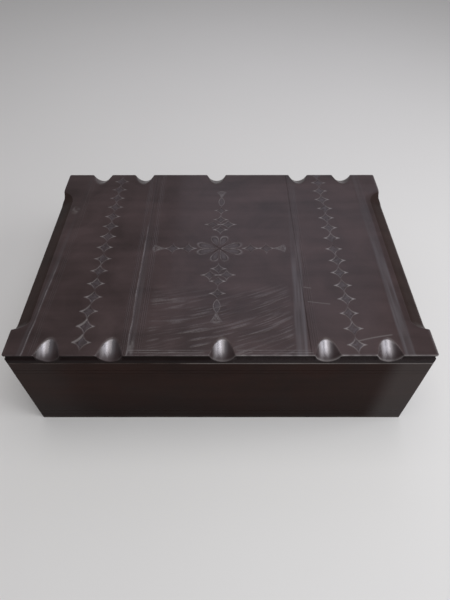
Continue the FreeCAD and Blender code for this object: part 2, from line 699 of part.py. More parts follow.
body_outside = rounded_slab("body_outside", "chest_width / 2", "chest_depth / 2", "corner_radius", "0",
                            "body_height")
inside_block = span_box("inside_block", (f"-{INSIDE_X}", INSIDE_X), (f"-{INSIDE_Y}", INSIDE_Y),
                        ("-overrun", f"{BOARD_TOP} + overrun"))
board_ring = carved("board_ring", carcass_block, [inside_block])
lined_x, lined_y = f"({INSIDE_X} - leather_thickness)", f"({INSIDE_Y} - leather_thickness)"
mouth = span_box("body_mouth", (f"-{lined_x}", lined_x), (f"-{lined_y}", lined_y),
                 ("0", "body_height + overrun"))
below_turn_in = span_box("below_turn_in", (f"-{INSIDE_X}", INSIDE_X), (f"-{INSIDE_Y}", INSIDE_Y),
                         ("-overrun", f"{BOARD_TOP} - leather_turn_in"))
body_skin = carved("body_skin", body_outside,
                   [board_ring, below_turn_in, mouth, lower_hinge_seats, rim_tacks])
wrap_y = "(chest_depth / 2 - corner_wrap)"
all_heights = ("-overrun", "body_height + overrun")
front_zone = joined("front_leather_zone", [
    span_box("front_wrap", FULL_X, ("-(chest_depth / 2 + overrun)", f"-{wrap_y}"), all_heights),
    span_box("front_turn", (f"-{lined_x}", lined_x), (f"-{wrap_y}", f"-({lined_y} - overrun)"), all_heights),
])
back_zone = mirrored("back_leather_zone", front_zone, AXIS_Y)
side_skin = carved("side_skin", body_skin, [front_zone, back_zone])
keep("front_leather", shared("front_leather", body_skin, front_zone))
keep("back_leather", shared("back_leather", body_skin, back_zone))
for side, x in (("left", (f"-({WOOD_X} + overrun)", "0")), ("right", ("0", f"{WOOD_X} + overrun"))):
    zone = span_box(f"{side}_leather_zone", x, (f"-{wrap_y}", wrap_y), all_heights)
    keep(f"{side}_leather", shared(f"{side}_leather", side_skin, zone))


# Lid frame: long rails in front and behind, end rails tenoned between them

LID_SPAN = (LID_BOTTOM, LID_TOP)
panel_zone = span_box("panel_zone", (f"-({FRAME_X} + panel_rebate)", f"{FRAME_X} + panel_rebate"),
                      (f"-({FRAME_Y} + panel_rebate)", f"{FRAME_Y} + panel_rebate"), (PANEL_BOTTOM, LID_TOP))
tenon_middle = f"({LID_WOOD_BOTTOM} + {LID_WOOD_TOP}) / 2"
tenon_outer, tenon_inner = f"({WOOD_X} - tenon_inset)", f"({WOOD_X} - tenon_inset - tenon_width)"
left_tenons = [
    span_box(f"tenon_{end}", (f"-{tenon_outer}", f"-{tenon_inner}"), y,
             (f"{tenon_middle} - tenon_thickness / 2", f"{tenon_middle} + tenon_thickness / 2"))
    for end, y in (("front", (f"-({FRAME_Y} + tenon_length)", f"-{FRAME_Y}")),
                   ("back", (FRAME_Y, f"{FRAME_Y} + tenon_length")))
]
end_rail_zone = joined("end_rail_zone", [
    span_box("end_rail_span", (f"-({WOOD_X} + overrun)", f"-{FRAME_X}"), (f"-{FRAME_Y}", FRAME_Y), LID_SPAN),
    *left_tenons,
])
rail_tools = [panel_zone, lid_nails, lid_tacks, bracket_screws]
left_rail_blank = shared("left_rail_blank", lid_wood, end_rail_zone)
right_rail_blank = mirrored("right_rail_blank", left_rail_blank, AXIS_X)
keep("lid_left_rail", carved("lid_left_rail", left_rail_blank, rail_tools))
keep("lid_right_rail", carved("lid_right_rail", right_rail_blank, rail_tools))
all_tenons = together("all_tenons", [*left_tenons, *(mirrored(f"right_{tenon.Name}", tenon, AXIS_X)
                                                    for tenon in left_tenons)])
for side, y, tools in (("front", (f"-({WOOD_Y} + overrun)", f"-{FRAME_Y}"), []),
                       ("back", (FRAME_Y, f"{WOOD_Y} + overrun"), [upper_hinge_seats, upper_hinge_screws])):
    zone = span_box(f"{side}_rail_zone", FULL_X, y, LID_SPAN)
    blank = shared(f"{side}_rail_blank", lid_wood, zone)
    keep(f"lid_{side}_rail", carved(f"lid_{side}_rail", blank, [panel_zone, all_tenons, lid_tacks, *tools]))


# Lid panel: planks from left to right in the frame's rebate, over two battens

for number in range(int(size.lid_plank_count)):
    pitch = f"2 * ({FRAME_Y} + panel_rebate) / lid_plank_count"
    start = f"-({FRAME_Y} + panel_rebate) + {number} * {pitch}"
    blank = span_box(f"lid_plank_blank_{number + 1}",
                     (f"-({FRAME_X} + panel_rebate)", f"{FRAME_X} + panel_rebate"),
                     (f"{start} + plank_gap / 2", f"{start} + {pitch} - plank_gap / 2"),
                     (PANEL_BOTTOM, LID_WOOD_TOP))
    keep(f"lid_plank_{number + 1}", carved(f"lid_plank_{number + 1}", blank, [lid_nails]))
for side, middle in (("left", "-batten_offset"), ("right", "batten_offset")):
    blank = span_box(f"{side}_batten_blank", (f"{middle} - batten_width / 2", f"{middle} + batten_width / 2"),
                     (f"-{FRAME_Y}", FRAME_Y), (f"{PANEL_BOTTOM} - batten_thickness", PANEL_BOTTOM))
    keep(f"lid_{side}_batten", carved(f"lid_{side}_batten", blank, [lid_nails]))


# Lid leather: three hides that meet at the inner bands, wrapped round the rim and turned under

underside_x, underside_y = f"({WOOD_X} - leather_turn_under)", f"({WOOD_Y} - leather_turn_under)"
underside = span_box("lid_underside", (f"-{underside_x}", underside_x), (f"-{underside_y}", underside_y),
                     (f"{LID_BOTTOM} - overrun", LID_WOOD_BOTTOM))
lid_skin = carved("lid_skin", lid_outside, [lid_wood, underside, upper_hinge_seats, lid_tacks])
for side, x in (("left", (f"-({WOOD_X} + overrun)", "-lap_offset")),
                ("centre", ("-lap_offset", "lap_offset")),
                ("right", ("lap_offset", f"{WOOD_X} + overrun"))):
    zone = span_box(f"lid_leather_{side}_zone", x, (f"-({WOOD_Y} + overrun)", f"{WOOD_Y} + overrun"),
                    (f"{LID_BOTTOM} - overrun", f"{LID_TOP} + overrun"))
    keep(f"lid_leather_{side}", shared(f"lid_leather_{side}", lid_skin, zone))


# Checks, then the files

doc.recompute()
for thing in doc.Objects:
    if {"Invalid", "Error"} & set(thing.State):
        raise RuntimeError(f"{thing.Label} did not build: {thing.State}")
for node, piece in pieces.items():
    if piece.Shape.isNull() or not piece.Shape.isValid() or not piece.Shape.Solids:
        raise RuntimeError(f"{node} has no sound solid")
for node, piece in pieces.items():
    piece.Shape.exportStep(f"parts/{node}.step")
    print(f"{node}: {len(piece.Shape.Solids)} solid(s), {piece.Shape.Volume / 1000:.2f} cm3")
print(f"{len(pieces)} pieces")
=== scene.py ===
"""The looks of an arabic dowry chest: a low box of boards under dark tooled leather, with a gouged lid.

The CAD frame gives the places, and the sizes of the tooling are named here. Lengths are in metres.
"""

import logging
import math
from collections.abc import Callable, Iterable, Sequence
from dataclasses import dataclass, field
from enum import Enum
from functools import cache, reduce
from typing import Protocol

import bpy
import numpy as np
from mathutils import Matrix, Vector


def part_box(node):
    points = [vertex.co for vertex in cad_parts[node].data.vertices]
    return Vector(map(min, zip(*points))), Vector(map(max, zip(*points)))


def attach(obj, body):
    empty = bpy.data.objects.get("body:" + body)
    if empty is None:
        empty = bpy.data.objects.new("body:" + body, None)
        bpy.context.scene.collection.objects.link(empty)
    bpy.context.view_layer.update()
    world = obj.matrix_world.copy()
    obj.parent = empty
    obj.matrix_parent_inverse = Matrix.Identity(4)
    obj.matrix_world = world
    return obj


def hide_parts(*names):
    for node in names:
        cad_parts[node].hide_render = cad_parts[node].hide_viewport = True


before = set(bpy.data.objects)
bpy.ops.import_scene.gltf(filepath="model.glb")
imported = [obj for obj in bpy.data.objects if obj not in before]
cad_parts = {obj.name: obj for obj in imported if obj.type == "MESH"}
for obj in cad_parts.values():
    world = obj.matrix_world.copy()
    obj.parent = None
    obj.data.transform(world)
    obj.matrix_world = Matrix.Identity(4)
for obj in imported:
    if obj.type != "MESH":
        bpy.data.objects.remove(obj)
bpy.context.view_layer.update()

log = logging.getLogger("dowry_chest")
Array = np.ndarray
Tone = tuple[float, float, float]
MM = 0.001
INNER_STEP = 4
SHARP_ANGLE = math.radians(60)
EDGE_ROUNDS = 60
SIDES = (-1, 1)
HINGE_PLACES = ("left", "middle", "right")
MARKS = ("pressed", "matted", "burnished", "scuffed", "worn")


def mm(*lengths: float) -> tuple[float, ...]:
    """Lengths that are given in millimetres."""
    return tuple(length * MM for length in lengths)


# Curves and random hills

def s_curve(value: Array, start: float, end: float) -> Array:
    """Rises from 0 at start to 1 at end: 3t² - 2t³, where t is the share of the way."""
    share = np.clip((value - start) / (end - start), 0, 1)
    return share * share * (3 - 2 * share)


def falling(value: Array, start: float, end: float) -> Array:
    """Falls from 1 at start to 0 at end, as the S-curve rises."""
    return 1 - s_curve(value, start, end)


def between(value: Array, limits: tuple[float, float], rise: float, fall: float) -> Array:
    """1 between two limits and 0 outside, with an S-curve up over the rise and one down over the fall."""
    start, end = limits
    return s_curve(value, start, start + rise) * falling(value, end - fall, end)


def soft_min(first: Array, second: Array, width: float) -> Array:
    """The lower of two surfaces, less a fillet where they are near: width times nearness² over 4."""
    nearness = np.clip(width - np.abs(first - second), 0, None) / width
    return np.minimum(first, second) - nearness**2 * width / 4


def groove(distance: Array, half_width: float) -> Array:
    """A rounded groove, 1 on its line and 0 far away: e to the minus (distance / half-width)²."""
    return np.exp(-((distance / half_width) ** 2))


def spaced(start: float, end: float, spacing: Callable[[Array], Array], samples: int = 4001) -> Array:
    """Stations from start to end, whose distance apart follows a function of the place.

    The steps per metre are added up along the way, and the stations are where that sum reaches even shares.

    Args:
        start: the first station.
        end: the last station.
        spacing: the wanted distance between stations near a place.
        samples: at how many places the function is read.

    Returns:
        The stations in order. The number of steps is a multiple of the inner skin's step.
    """
    places = np.linspace(start, end, samples)
    density = 1 / spacing(places)
    travelled = np.concatenate([[0], np.cumsum((density[1:] + density[:-1]) / 2 * np.diff(places))])
    steps = max(1, math.ceil(travelled[-1] / INNER_STEP)) * INNER_STEP
    return np.interp(np.linspace(0, travelled[-1], steps + 1), travelled, places)


@dataclass(frozen=True)
class Hills:
    """Smooth random heights from -1 to 1: a lattice of random numbers, joined by S-curves both ways."""

    seed: int
    width: float
    length: float | None = None
    cells: int = 61

    def at(self, x: Array, y: Array) -> Array:
        """The heights at places x and y.

        Args:
            x: places along the width of the lattice's cells.
            y: places along their length, which is the width too where none is given.

        Returns:
            The heights.
        """
        u, v = x / self.width, y / (self.length or self.width)
        lattice = np.random.default_rng(self.seed).uniform(-1, 1, (self.cells, self.cells))
        column, row = np.floor(u).astype(int), np.floor(v).astype(int)
        across, along = u - column, v - row
        across, along = across**2 * (3 - 2 * across), along**2 * (3 - 2 * along)
        left, right = column % self.cells, (column + 1) % self.cells
        near, far = row % self.cells, (row + 1) % self.cells
        front = lattice[near, left] * (1 - across) + lattice[near, right] * across
        back = lattice[far, left] * (1 - across) + lattice[far, right] * across
        return front * (1 - along) + back * along

    def along(self, x: Array) -> Array:
        """The heights along the lattice's first row."""
        return self.at(x, x * 0)


# Meshes

def grid_quads(index: Array) -> Array:
    """The four-sided faces of a grid of point numbers, one face for each cell."""
    return np.stack([index[:-1, :-1], index[:-1, 1:], index[1:, 1:], index[1:, :-1]], axis=-1).reshape(-1, 4)


def summed_at(points: Array, amounts: Array, count: int) -> Array:
    """Adds up three-part amounts that fall on the same point."""
    return np.stack([np.bincount(points, amounts[:, axis], count) for axis in range(3)], axis=1)


def point_normals(points: Array, quads: Array) -> Array:
    """Unit normals at the points: each face adds the cross product of its diagonals to its four corners.

    Args:
        points: the mesh's points.
        quads: its faces.

    Returns:
        The normals.
    """
    first, second, third, fourth = (points[quads[:, corner]] for corner in range(4))
    facing = np.cross(third - first, fourth - second)
    total = summed_at(quads.ravel(), np.repeat(facing, 4, axis=0), len(points))
    return total / np.maximum(np.linalg.norm(total, axis=1, keepdims=True), 1e-12)


def soften(points: Array, quads: Array, amount: Array, held_x: Array, rounds: int) -> Array:
    """Rounds the sharp edges of a mesh: each point moves towards the mean of its neighbours, again and again.

    Args:
        points: the mesh's points.
        quads: its faces.
        amount: the share of the way that each point moves, from 0 to 1.
        held_x: numbers of the points that keep their X, because another piece meets them there.
        rounds: how often they move.

    Returns:
        The moved points.
    """
    moving = np.flatnonzero(amount > 0)
    ends = np.concatenate([quads[:, [0, 1]], quads[:, [1, 2]], quads[:, [2, 3]], quads[:, [3, 0]]])
    ends = ends[np.isin(ends, moving).any(axis=1)]
    here, there = np.concatenate([ends[:, 0], ends[:, 1]]), np.concatenate([ends[:, 1], ends[:, 0]])
    count = np.maximum(np.bincount(here, minlength=len(points)), 1)[:, None]
    moved = points.copy()
    for _ in range(rounds):
        step = (summed_at(here, moved[there], len(points)) / count - moved) * amount[:, None]
        step[held_x, 0] = 0
        moved += step
    return moved


def piece_from(name: str, points: Array, faces: Iterable[Array],
               marks: dict[str, Array] | None = None) -> bpy.types.Object:
    """Makes a smooth-shaded object, with its place in its mesh.

    Args:
        name: the piece's name.
        points: its points.
        faces: arrays of point numbers, one array for each number of corners.
        marks: values at the points, by the name of the attribute that holds them.

    Returns:
        The new object.
    """
    mesh = bpy.data.meshes.new(name)
    mesh.from_pydata(points.tolist(), [], [face for group in faces for face in group.tolist()])
    for mark, values in (marks or {}).items():
        mesh.attributes.new(mark, "FLOAT", "POINT").data.foreach_set("value", values.astype(np.float32))
    mesh.shade_smooth()
    mesh.set_sharp_from_angle(angle=SHARP_ANGLE)
    piece = bpy.data.objects.new(name, mesh)
    bpy.context.scene.collection.objects.link(piece)
    return piece


@dataclass
class Skin:
    """A closed sheet of leather: a fine outer skin, a coarser inner one, and a cut edge."""

    points: Array
    grids: list[Array]
    edge: Array
    marks: dict[str, Array] = field(default_factory=dict)

    def quads(self) -> Array:
        """The faces of the outer skin."""
        return np.concatenate([grid_quads(grid) for grid in self.grids])

    def piece(self, name: str, thickness: float) -> bpy.types.Object:
        """Closes the sheet and makes it an object.

        An inner point lies one thickness behind its outer point, against the normal. Along the cut edge, each
        inner step is joined to its four outer steps by a fan of triangles.

        Args:
            name: the piece's name.
            thickness: how thick the leather is.

        Returns:
            The new object.
        """
        quads = self.quads()
        coarse = [grid[::INNER_STEP, ::INNER_STEP] for grid in self.grids]
        kept = np.unique(np.concatenate([grid.ravel() for grid in coarse]))
        inner_of = np.zeros(len(self.points), int)
        inner_of[kept] = len(self.points) + np.arange(len(kept))
        inner = self.points[kept] - point_normals(self.points, quads)[kept] * thickness
        inner_quads = np.concatenate([grid_quads(inner_of[grid]) for grid in coarse])
        turns = np.arange(len(self.edge))
        after = self.edge[(turns + 1) % len(self.edge)]
        hub = inner_of[self.edge[turns // INNER_STEP * INNER_STEP]]
        fans = np.stack([after, self.edge, hub], axis=1)
        last = turns[INNER_STEP - 1::INNER_STEP]
        next_hub = inner_of[after[last]]
        closers = np.stack([after[last], hub[last], next_hub], axis=1)
        marks = {mark: np.concatenate([values, values[kept]]) for mark, values in self.marks.items()}
        return piece_from(name, np.concatenate([self.points, inner]),
                          [quads, inner_quads[:, ::-1], fans, closers], marks)


# What the frame says

@dataclass(frozen=True)
class ChestSizes:
    """The chest's main planes, read from the CAD nodes."""

    half_width: float
    half_depth: float
    body_top: float
    lid_bottom: float
    lid_top: float
    lining_x: float
    lining_y: float
    wrap_y: float
    lap_x: float
    turn_in_end: float
    corner_radius: float = 6 * MM
    thickness: float = 2.5 * MM
    turned_under: float = 32.5 * MM
    turn_in: float = 24.5 * MM

    @classmethod
    def from_frame(cls) -> "ChestSizes":
        """Reads the planes from the boxes of the leather.

        Returns:
            The chest's sizes.
        """
        side_low, side_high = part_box("left_leather")
        front_low, front_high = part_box("front_leather")
        hide_low, hide_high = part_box("lid_leather_left")
        return cls(half_width=-side_low[0], half_depth=-front_low[1], body_top=front_high[2],
                   lid_bottom=hide_low[2], lid_top=hide_high[2], lining_x=-side_high[0],
                   lining_y=-front_high[1], wrap_y=side_high[1], lap_x=-hide_high[0],
                   turn_in_end=front_high[2] - cls.turn_in)

    def from_edge(self, x: Array, y: Array) -> Array:
        """How far inside the nearest edge of the lid places lie."""
        return np.minimum(self.half_depth - np.abs(y), self.half_width - np.abs(x))


@dataclass(frozen=True)
class HingeSeats:
    """Where the hinge leaves are let into the leather of the body's rim and of the lid's underside."""

    centres: tuple[float, ...]
    half_length: float
    leaf_depth: float
    lower_level: float
    upper_level: float
    leaf_thickness: float = 3 * MM
    clearance: float = 0.15 * MM
    rim_steps: tuple[float, ...] = mm(0.5, 1.2, 2.4, 5, 9, 14)
    edge_steps: tuple[float, ...] = mm(-1, 0.1, 0.5)

    @classmethod
    def from_frame(cls, sizes: ChestSizes) -> "HingeSeats":
        """Reads the seats from the boxes of the lower leaves.

        Args:
            sizes: the chest's planes.

        Returns:
            The seats.
        """
        leaves = [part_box(f"{place}_hinge_lower_leaf") for place in HINGE_PLACES]
        low, high = leaves[0]
        return cls(centres=tuple((leaf_low[0] + leaf_high[0]) / 2 for leaf_low, leaf_high in leaves),
                   half_length=(high[0] - low[0]) / 2, leaf_depth=sizes.half_depth - low[1],
                   lower_level=sizes.body_top - cls.leaf_thickness,
                   upper_level=sizes.lid_bottom + cls.leaf_thickness)

    def insets(self) -> Array:
        """How far in the levels of a rim lie: close at the fold and at the leaves' inner edge."""
        return np.array([*self.rim_steps, *(self.leaf_depth + step for step in self.edge_steps)])

    def under_leaf(self, x: Array, inset: Array) -> Array:
        """True where a leaf lies: within its length, and no further in than it is deep."""
        aside = np.min([np.abs(x - centre) for centre in self.centres], axis=0)
        return (aside < self.half_length + self.clearance) & (inset < self.leaf_depth + self.clearance)


@dataclass(frozen=True)
class Outline:
    """The chest seen from above: a rectangle with rounded corners, which can be drawn further in."""

    half_width: float
    half_depth: float
    radius: float
    least_radius: float = 0.8 * MM
    draw_in: float = 80 * MM
    slack: float = 1e-6 * MM

    def rounded(self, x: Array, y: Array) -> tuple[Array, Array, Array, Array]:
        """Bends a rectangular grid to the rounded outline.

        In a corner's square, u and v are the shares of the radius past the arc's centre, and the square
        becomes a quarter disc: u·√(1 - v²/2) and v·√(1 - u²/2).

        Args:
            x: places across the chest.
            y: places from front to back.

        Returns:
            The bent x and y, and the outward direction's x and y for the points on the outline.
        """
        u = np.clip((np.abs(x) - self.half_width + self.radius) / self.radius, 0, 1)
        v = np.clip((np.abs(y) - self.half_depth + self.radius) / self.radius, 0, 1)
        out_x, out_y = u * np.sqrt(1 - v**2 / 2), v * np.sqrt(1 - u**2 / 2)
        bent_x = np.sign(x) * (np.minimum(np.abs(x), self.half_width - self.radius) + self.radius * out_x)
        bent_y = np.sign(y) * (np.minimum(np.abs(y), self.half_depth - self.radius) + self.radius * out_y)
        return bent_x, bent_y, np.sign(x) * out_x, np.sign(y) * out_y

    def corner_radius(self, inset: Array) -> Array:
        """The radius of the corners once the outline is drawn in by inset."""
        return np.maximum(self.radius - inset, self.least_radius)

    def drawn_in(self, place: Array, outward: Array, half: float, inset: Array) -> Array:
        """One coordinate of outline points after the outline is drawn in.

        Past the start of a corner's arc, the arc's centre moves in and its radius shrinks. Before it, only
        the last stretch is pressed together, so that all else keeps its place.

        Args:
            place: the coordinate on the full outline.
            outward: the same coordinate of the outward direction.
            half: half the chest's size along this coordinate.
            inset: how far in the outline is drawn.

        Returns:
            The new coordinate.
        """
        radius = self.corner_radius(inset)
        arc_start = half - inset - radius
        firm = half - self.draw_in
        reach = np.abs(place)
        share = np.clip((reach - firm) / (half - self.radius - firm), 0, 1)
        straight = np.where(reach > firm, firm + share * (arc_start - firm), reach)
        on_arc = reach > half - self.radius + self.slack
        return np.where(on_arc, np.sign(place) * arc_start + radius * outward, np.sign(place) * straight)


# Tooling: what the maker's irons have done to the leather

FULL_CUT = 0.8 * MM
FULL_RIDGE = 0.4 * MM


@dataclass
class Impression:
    """The state of a stretch of leather: its cuts, ridges and swells, how its surface is worn, and the
    painted highlights, sheen and shade on it.
    """

    depth: Array
    ridge: Array
    swell: Array
    matted: Array
    burnished: Array
    scuffed: Array
    worn: Array
    dulled: Array

    @classmethod
    def untouched(cls, shape: tuple[int, ...]) -> "Impression":
        """Leather before any tool has touched it."""
        return cls(*(np.zeros(shape) for _ in cls.__dataclass_fields__))

    def height(self) -> Array:
        """How far the leather stands above its plain surface: swells and ridges, less the cuts."""
        return self.swell + self.ridge - self.depth

    def cut(self, depth: Array) -> None:
        """Presses the leather down to a depth, unless it is deeper already."""
        self.depth = np.maximum(self.depth, depth)

    def raise_to(self, height: Array, rub_and_highlight: float | Array) -> None:
        """Pushes up a ridge, whose top is made paler: partly wear, partly a painted highlight."""
        self.ridge = np.maximum(self.ridge, height)
        self.apply_marks(worn=rub_and_highlight * np.clip(height / FULL_RIDGE, 0, 1))

    def raise_by(self, height: Array) -> None:
        """Lets the leather swell by a height."""
        self.swell = self.swell + height

    def apply_marks(self, **shares: Array) -> None:
        """Mats, burnishes, scuffs or wears the leather, or paints highlight, sheen or shade on it, unless it
        is so already.
        """
        for part, share in shares.items():
            setattr(self, part, np.maximum(getattr(self, part), share))

    def marks(self) -> dict[str, Array]:
        """The state as named point values; what is cut is dark, and painted shade is dark too.

        Returns:
            The values by the mark's name.
        """
        # Painted shade darkens the colour in the same way as a cut.
        pressed = np.maximum(np.clip(self.depth / FULL_CUT, 0, 1), self.dulled)
        parts = (pressed, self.matted, self.burnished, self.scuffed, self.worn)
        return {mark: part.ravel() for mark, part in zip(MARKS, parts)}


class Figure(Protocol):
    """Anything that can be worked into the leather."""

    def strike(self, x: Array, y: Array, leather: Impression) -> None:
        """Works the figure into the leather at places x and y."""


def work_outline(inside: Array, leather: Impression, line: float, depth: float, field_depth: float,
                 rub_and_highlight: float | Array = 0.85, matted: float | Array = 0.7) -> None:
    """Works a closed figure: a pale ridge on its outline, partly rubbed and partly a painted highlight, a
    groove inside, and a sunk, stippled field.

    Args:
        inside: distance inside the outline, negative outside.
        leather: the leather that is worked.
        line: half the width of the outline's groove.
        depth: how deep the groove is.
        field_depth: how far the field is sunk.
        rub_and_highlight: how pale the ridge is, partly rubbed and partly a painted highlight.
        matted: how rough the field is stippled.
    """
    leather.raise_to(FULL_RIDGE * groove(inside - 0.3 * line, line), rub_and_highlight)
    leather.cut(depth * groove(inside - 1.9 * line, 0.6 * line))
    field_share = s_curve(inside, 0.9 * line, 2.4 * line)
    leather.cut(field_depth * field_share)
    leather.apply_marks(matted=matted * field_share)


@dataclass(frozen=True)
class Star:
    """A four-pointed stamp with hollow sides."""

    x: float
    y: float
    half_width: float = 20 * MM
    half_height: float = 22 * MM
    side_centre: float = 1.35
    line: float = 1.4 * MM
    depth: float = 0.75 * MM
    field_depth: float = 0.25 * MM
    strength: float = 1.0
    reach: float = 1.2
    bite: Hills = Hills(81, 17 * MM)
    flecks: Hills = Hills(83, 4.5 * MM)

    def strike(self, x: Array, y: Array, leather: Impression) -> None:
        """Each side is an arc through two tips, whose centre lies outside, at (c, c) half-sizes.

        The iron bit unevenly, and the ridges are paler most at the side tips, partly wear and partly a
        painted highlight; the far stars are fainter, from wear and a painted highlight that fades towards the
        back.

        Args:
            x, y: places on the lid.
            leather: what is worked.
        """
        u, v = np.abs(x - self.x) / self.half_width, np.abs(y - self.y) / self.half_height
        arc = math.hypot(1 - self.side_centre, self.side_centre)
        past_side = np.hypot(u - self.side_centre, v - self.side_centre) - arc
        inside = np.where(u + v < self.reach, past_side, -1) * min(self.half_width, self.half_height)
        side_tips, end_tips = s_curve(u, 0.4, 0.9), s_curve(v, 0.5, 0.9)
        bite = 0.4 + 0.6 * side_tips - 0.1 * end_tips + 0.4 * self.bite.at(x, y)
        faded = 1 - 0.4 * s_curve(y, 60 * MM, 330 * MM)
        rub_and_highlight = np.clip(bite * self.strength, 0.1, 1.2) * faded
        flecks = 0.65 + 0.5 * self.flecks.at(x, y)
        stippled = self.strength * flecks
        work_outline(inside, leather, self.line, self.depth, self.field_depth, rub_and_highlight, stippled)
        # The side tips are paler still: a painted highlight, with some wear.
        tips = s_curve(u, 0.5, 0.95) * groove(inside - 0.3 * self.line, self.line)
        leather.apply_marks(scuffed=0.5 * self.strength * faded * tips)


@dataclass(frozen=True)
class StarChain:
    """Stars in a row from front to back, tip to tip, and a little closer each time."""

    x: float
    first_y: float
    pitch: float
    count: int
    drift: float = 0.0
    closer: float = 0.12 * MM
    strength: float = 1.0
    unsteady: float = 1.1 * MM

    def strike(self, x: Array, y: Array, leather: Impression) -> None:
        """Star n is n pitches behind the first, less the closing times n², and aside as the row drifts.

        Args:
            x, y: places on the lid.
            leather: what is worked.
        """
        for number in range(self.count):
            place = self.first_y + number * self.pitch - number**2 * self.closer
            aside = self.drift * number / self.count + self.unsteady * math.sin(2.4 * number)
            star = Star(self.x + aside, place, half_height=self.pitch / 2, strength=self.strength)
            star.strike(x, y, leather)


@dataclass(frozen=True)
class Petal:
    """An egg-shaped petal whose narrow end points at its flower's centre, with a second line inside."""

    x: float
    y: float
    turn: float
    distance: float
    half_length: float
    half_width: float
    swell: float = 0.8
    line: float = 1.1 * MM
    depth: float = 0.7 * MM
    field_depth: float = 0.15 * MM
    inner_gap: float = 4.5 * MM
    bite: Hills = Hills(82, 11 * MM)

    def strike(self, x: Array, y: Array, leather: Impression) -> None:
        """An ellipse along the turned axis, whose width grows with the distance from the flower's centre.

        Args:
            x, y: places on the lid.
            leather: what is worked.
        """
        away_x, away_y = x - self.x, y - self.y
        along = away_x * math.cos(self.turn) + away_y * math.sin(self.turn) - self.distance
        across = -away_x * math.sin(self.turn) + away_y * math.cos(self.turn)
        share = np.clip(along / self.half_length, -1.15, 1.3)
        width = self.half_width * (1 + self.swell * share)
        inside = (1 - np.hypot(share, across / width)) * self.half_width
        bite = np.clip(0.5 + 0.4 * self.bite.at(x, y), 0.1, 0.9)
        work_outline(inside, leather, self.line, self.depth, self.field_depth, bite)
        second = inside - self.inner_gap - 1.4 * self.line
        leather.raise_to(0.6 * FULL_RIDGE * groove(second, self.line), 0.5 * bite)


@dataclass(frozen=True)
class Lens:
    """A slim leaf with two equal points, one in front and one behind."""

    x: float
    y: float
    half_width: float = 8.5 * MM
    half_height: float = 21 * MM
    line: float = 1.1 * MM
    depth: float = 0.7 * MM
    field_depth: float = 0.15 * MM

    def strike(self, x: Array, y: Array, leather: Impression) -> None:
        """What two circles share: their centres lie aside by (h² - w²) / 2w.

        Args:
            x, y: places on the lid.
            leather: what is worked.
        """
        aside = (self.half_height**2 - self.half_width**2) / (2 * self.half_width)
        inside = aside + self.half_width - np.hypot(np.abs(x - self.x) + aside, y - self.y)
        work_outline(inside, leather, self.line, self.depth, self.field_depth)


@dataclass(frozen=True)
class Stroke:
    """One stroke of an iron or a scratch, from start to end, straight or bowed."""

    start: tuple[float, float]
    end: tuple[float, float]
    half_width: float = 1.1 * MM
    depth: float = 0.65 * MM
    bow: float = 0.0
    rub_and_highlight: float = 0.0
    ridge: float = 0.0

    def strike(self, x: Array, y: Array, leather: Impression) -> None:
        """Distance to a parabola over the chord: the bow times 4t(1 - t), where t is the share along it.

        Args:
            x, y: places on the lid.
            leather: what is worked.
        """
        run_x, run_y = self.end[0] - self.start[0], self.end[1] - self.start[1]
        length = math.hypot(run_x, run_y)
        along = ((x - self.start[0]) * run_x + (y - self.start[1]) * run_y) / length
        across = ((y - self.start[1]) * run_x - (x - self.start[0]) * run_y) / length
        share = np.clip(along / length, 0, 1)
        past_end = along - share * length
        distance = np.hypot(across - self.bow * 4 * share * (1 - share), past_end)
        taper = 0.45 + 0.55 * np.sin(math.pi * np.clip(share, 0.04, 0.96))
        leather.cut(self.depth * taper * groove(distance, self.half_width))
        beside = groove(distance - 1.5 * self.half_width, self.half_width)
        leather.raise_to(self.ridge * taper * beside, 0.9)
        leather.apply_marks(scuffed=self.rub_and_highlight * groove(distance, 1.5 * self.half_width))


@dataclass(frozen=True)
class Fan:
    """Three strokes that open from a point like a fan, closed by a bowed fourth."""

    x: float
    y: float
    turn: float
    length: float = 26 * MM
    half_spread: float = 12 * MM
    side_bow: float = 2 * MM
    rim_bow: float = 3 * MM
    rib_share: float = 0.8

    def strokes(self) -> list[Stroke]:
        """Two sides, the middle rib and the rim, turned to the fan's direction.

        Returns:
            The strokes in the order in which they are made.
        """
        def placed(along: float, across: float) -> tuple[float, float]:
            """A point of the fan on the lid."""
            return (self.x + along * math.cos(self.turn) - across * math.sin(self.turn),
                    self.y + along * math.sin(self.turn) + across * math.cos(self.turn))
        tip, rib_end = placed(0, 0), placed(self.rib_share * self.length, 0)
        left, right = placed(self.length, self.half_spread), placed(self.length, -self.half_spread)
        plan = ((tip, left, -self.side_bow), (tip, right, self.side_bow), (tip, rib_end, 0.0),
                (left, right, self.rim_bow))
        return [Stroke(start, end, bow=bow, ridge=FULL_RIDGE) for start, end, bow in plan]

    def strike(self, x: Array, y: Array, leather: Impression) -> None:
        """Each stroke in turn."""
        for stroke in self.strokes():
            stroke.strike(x, y, leather)


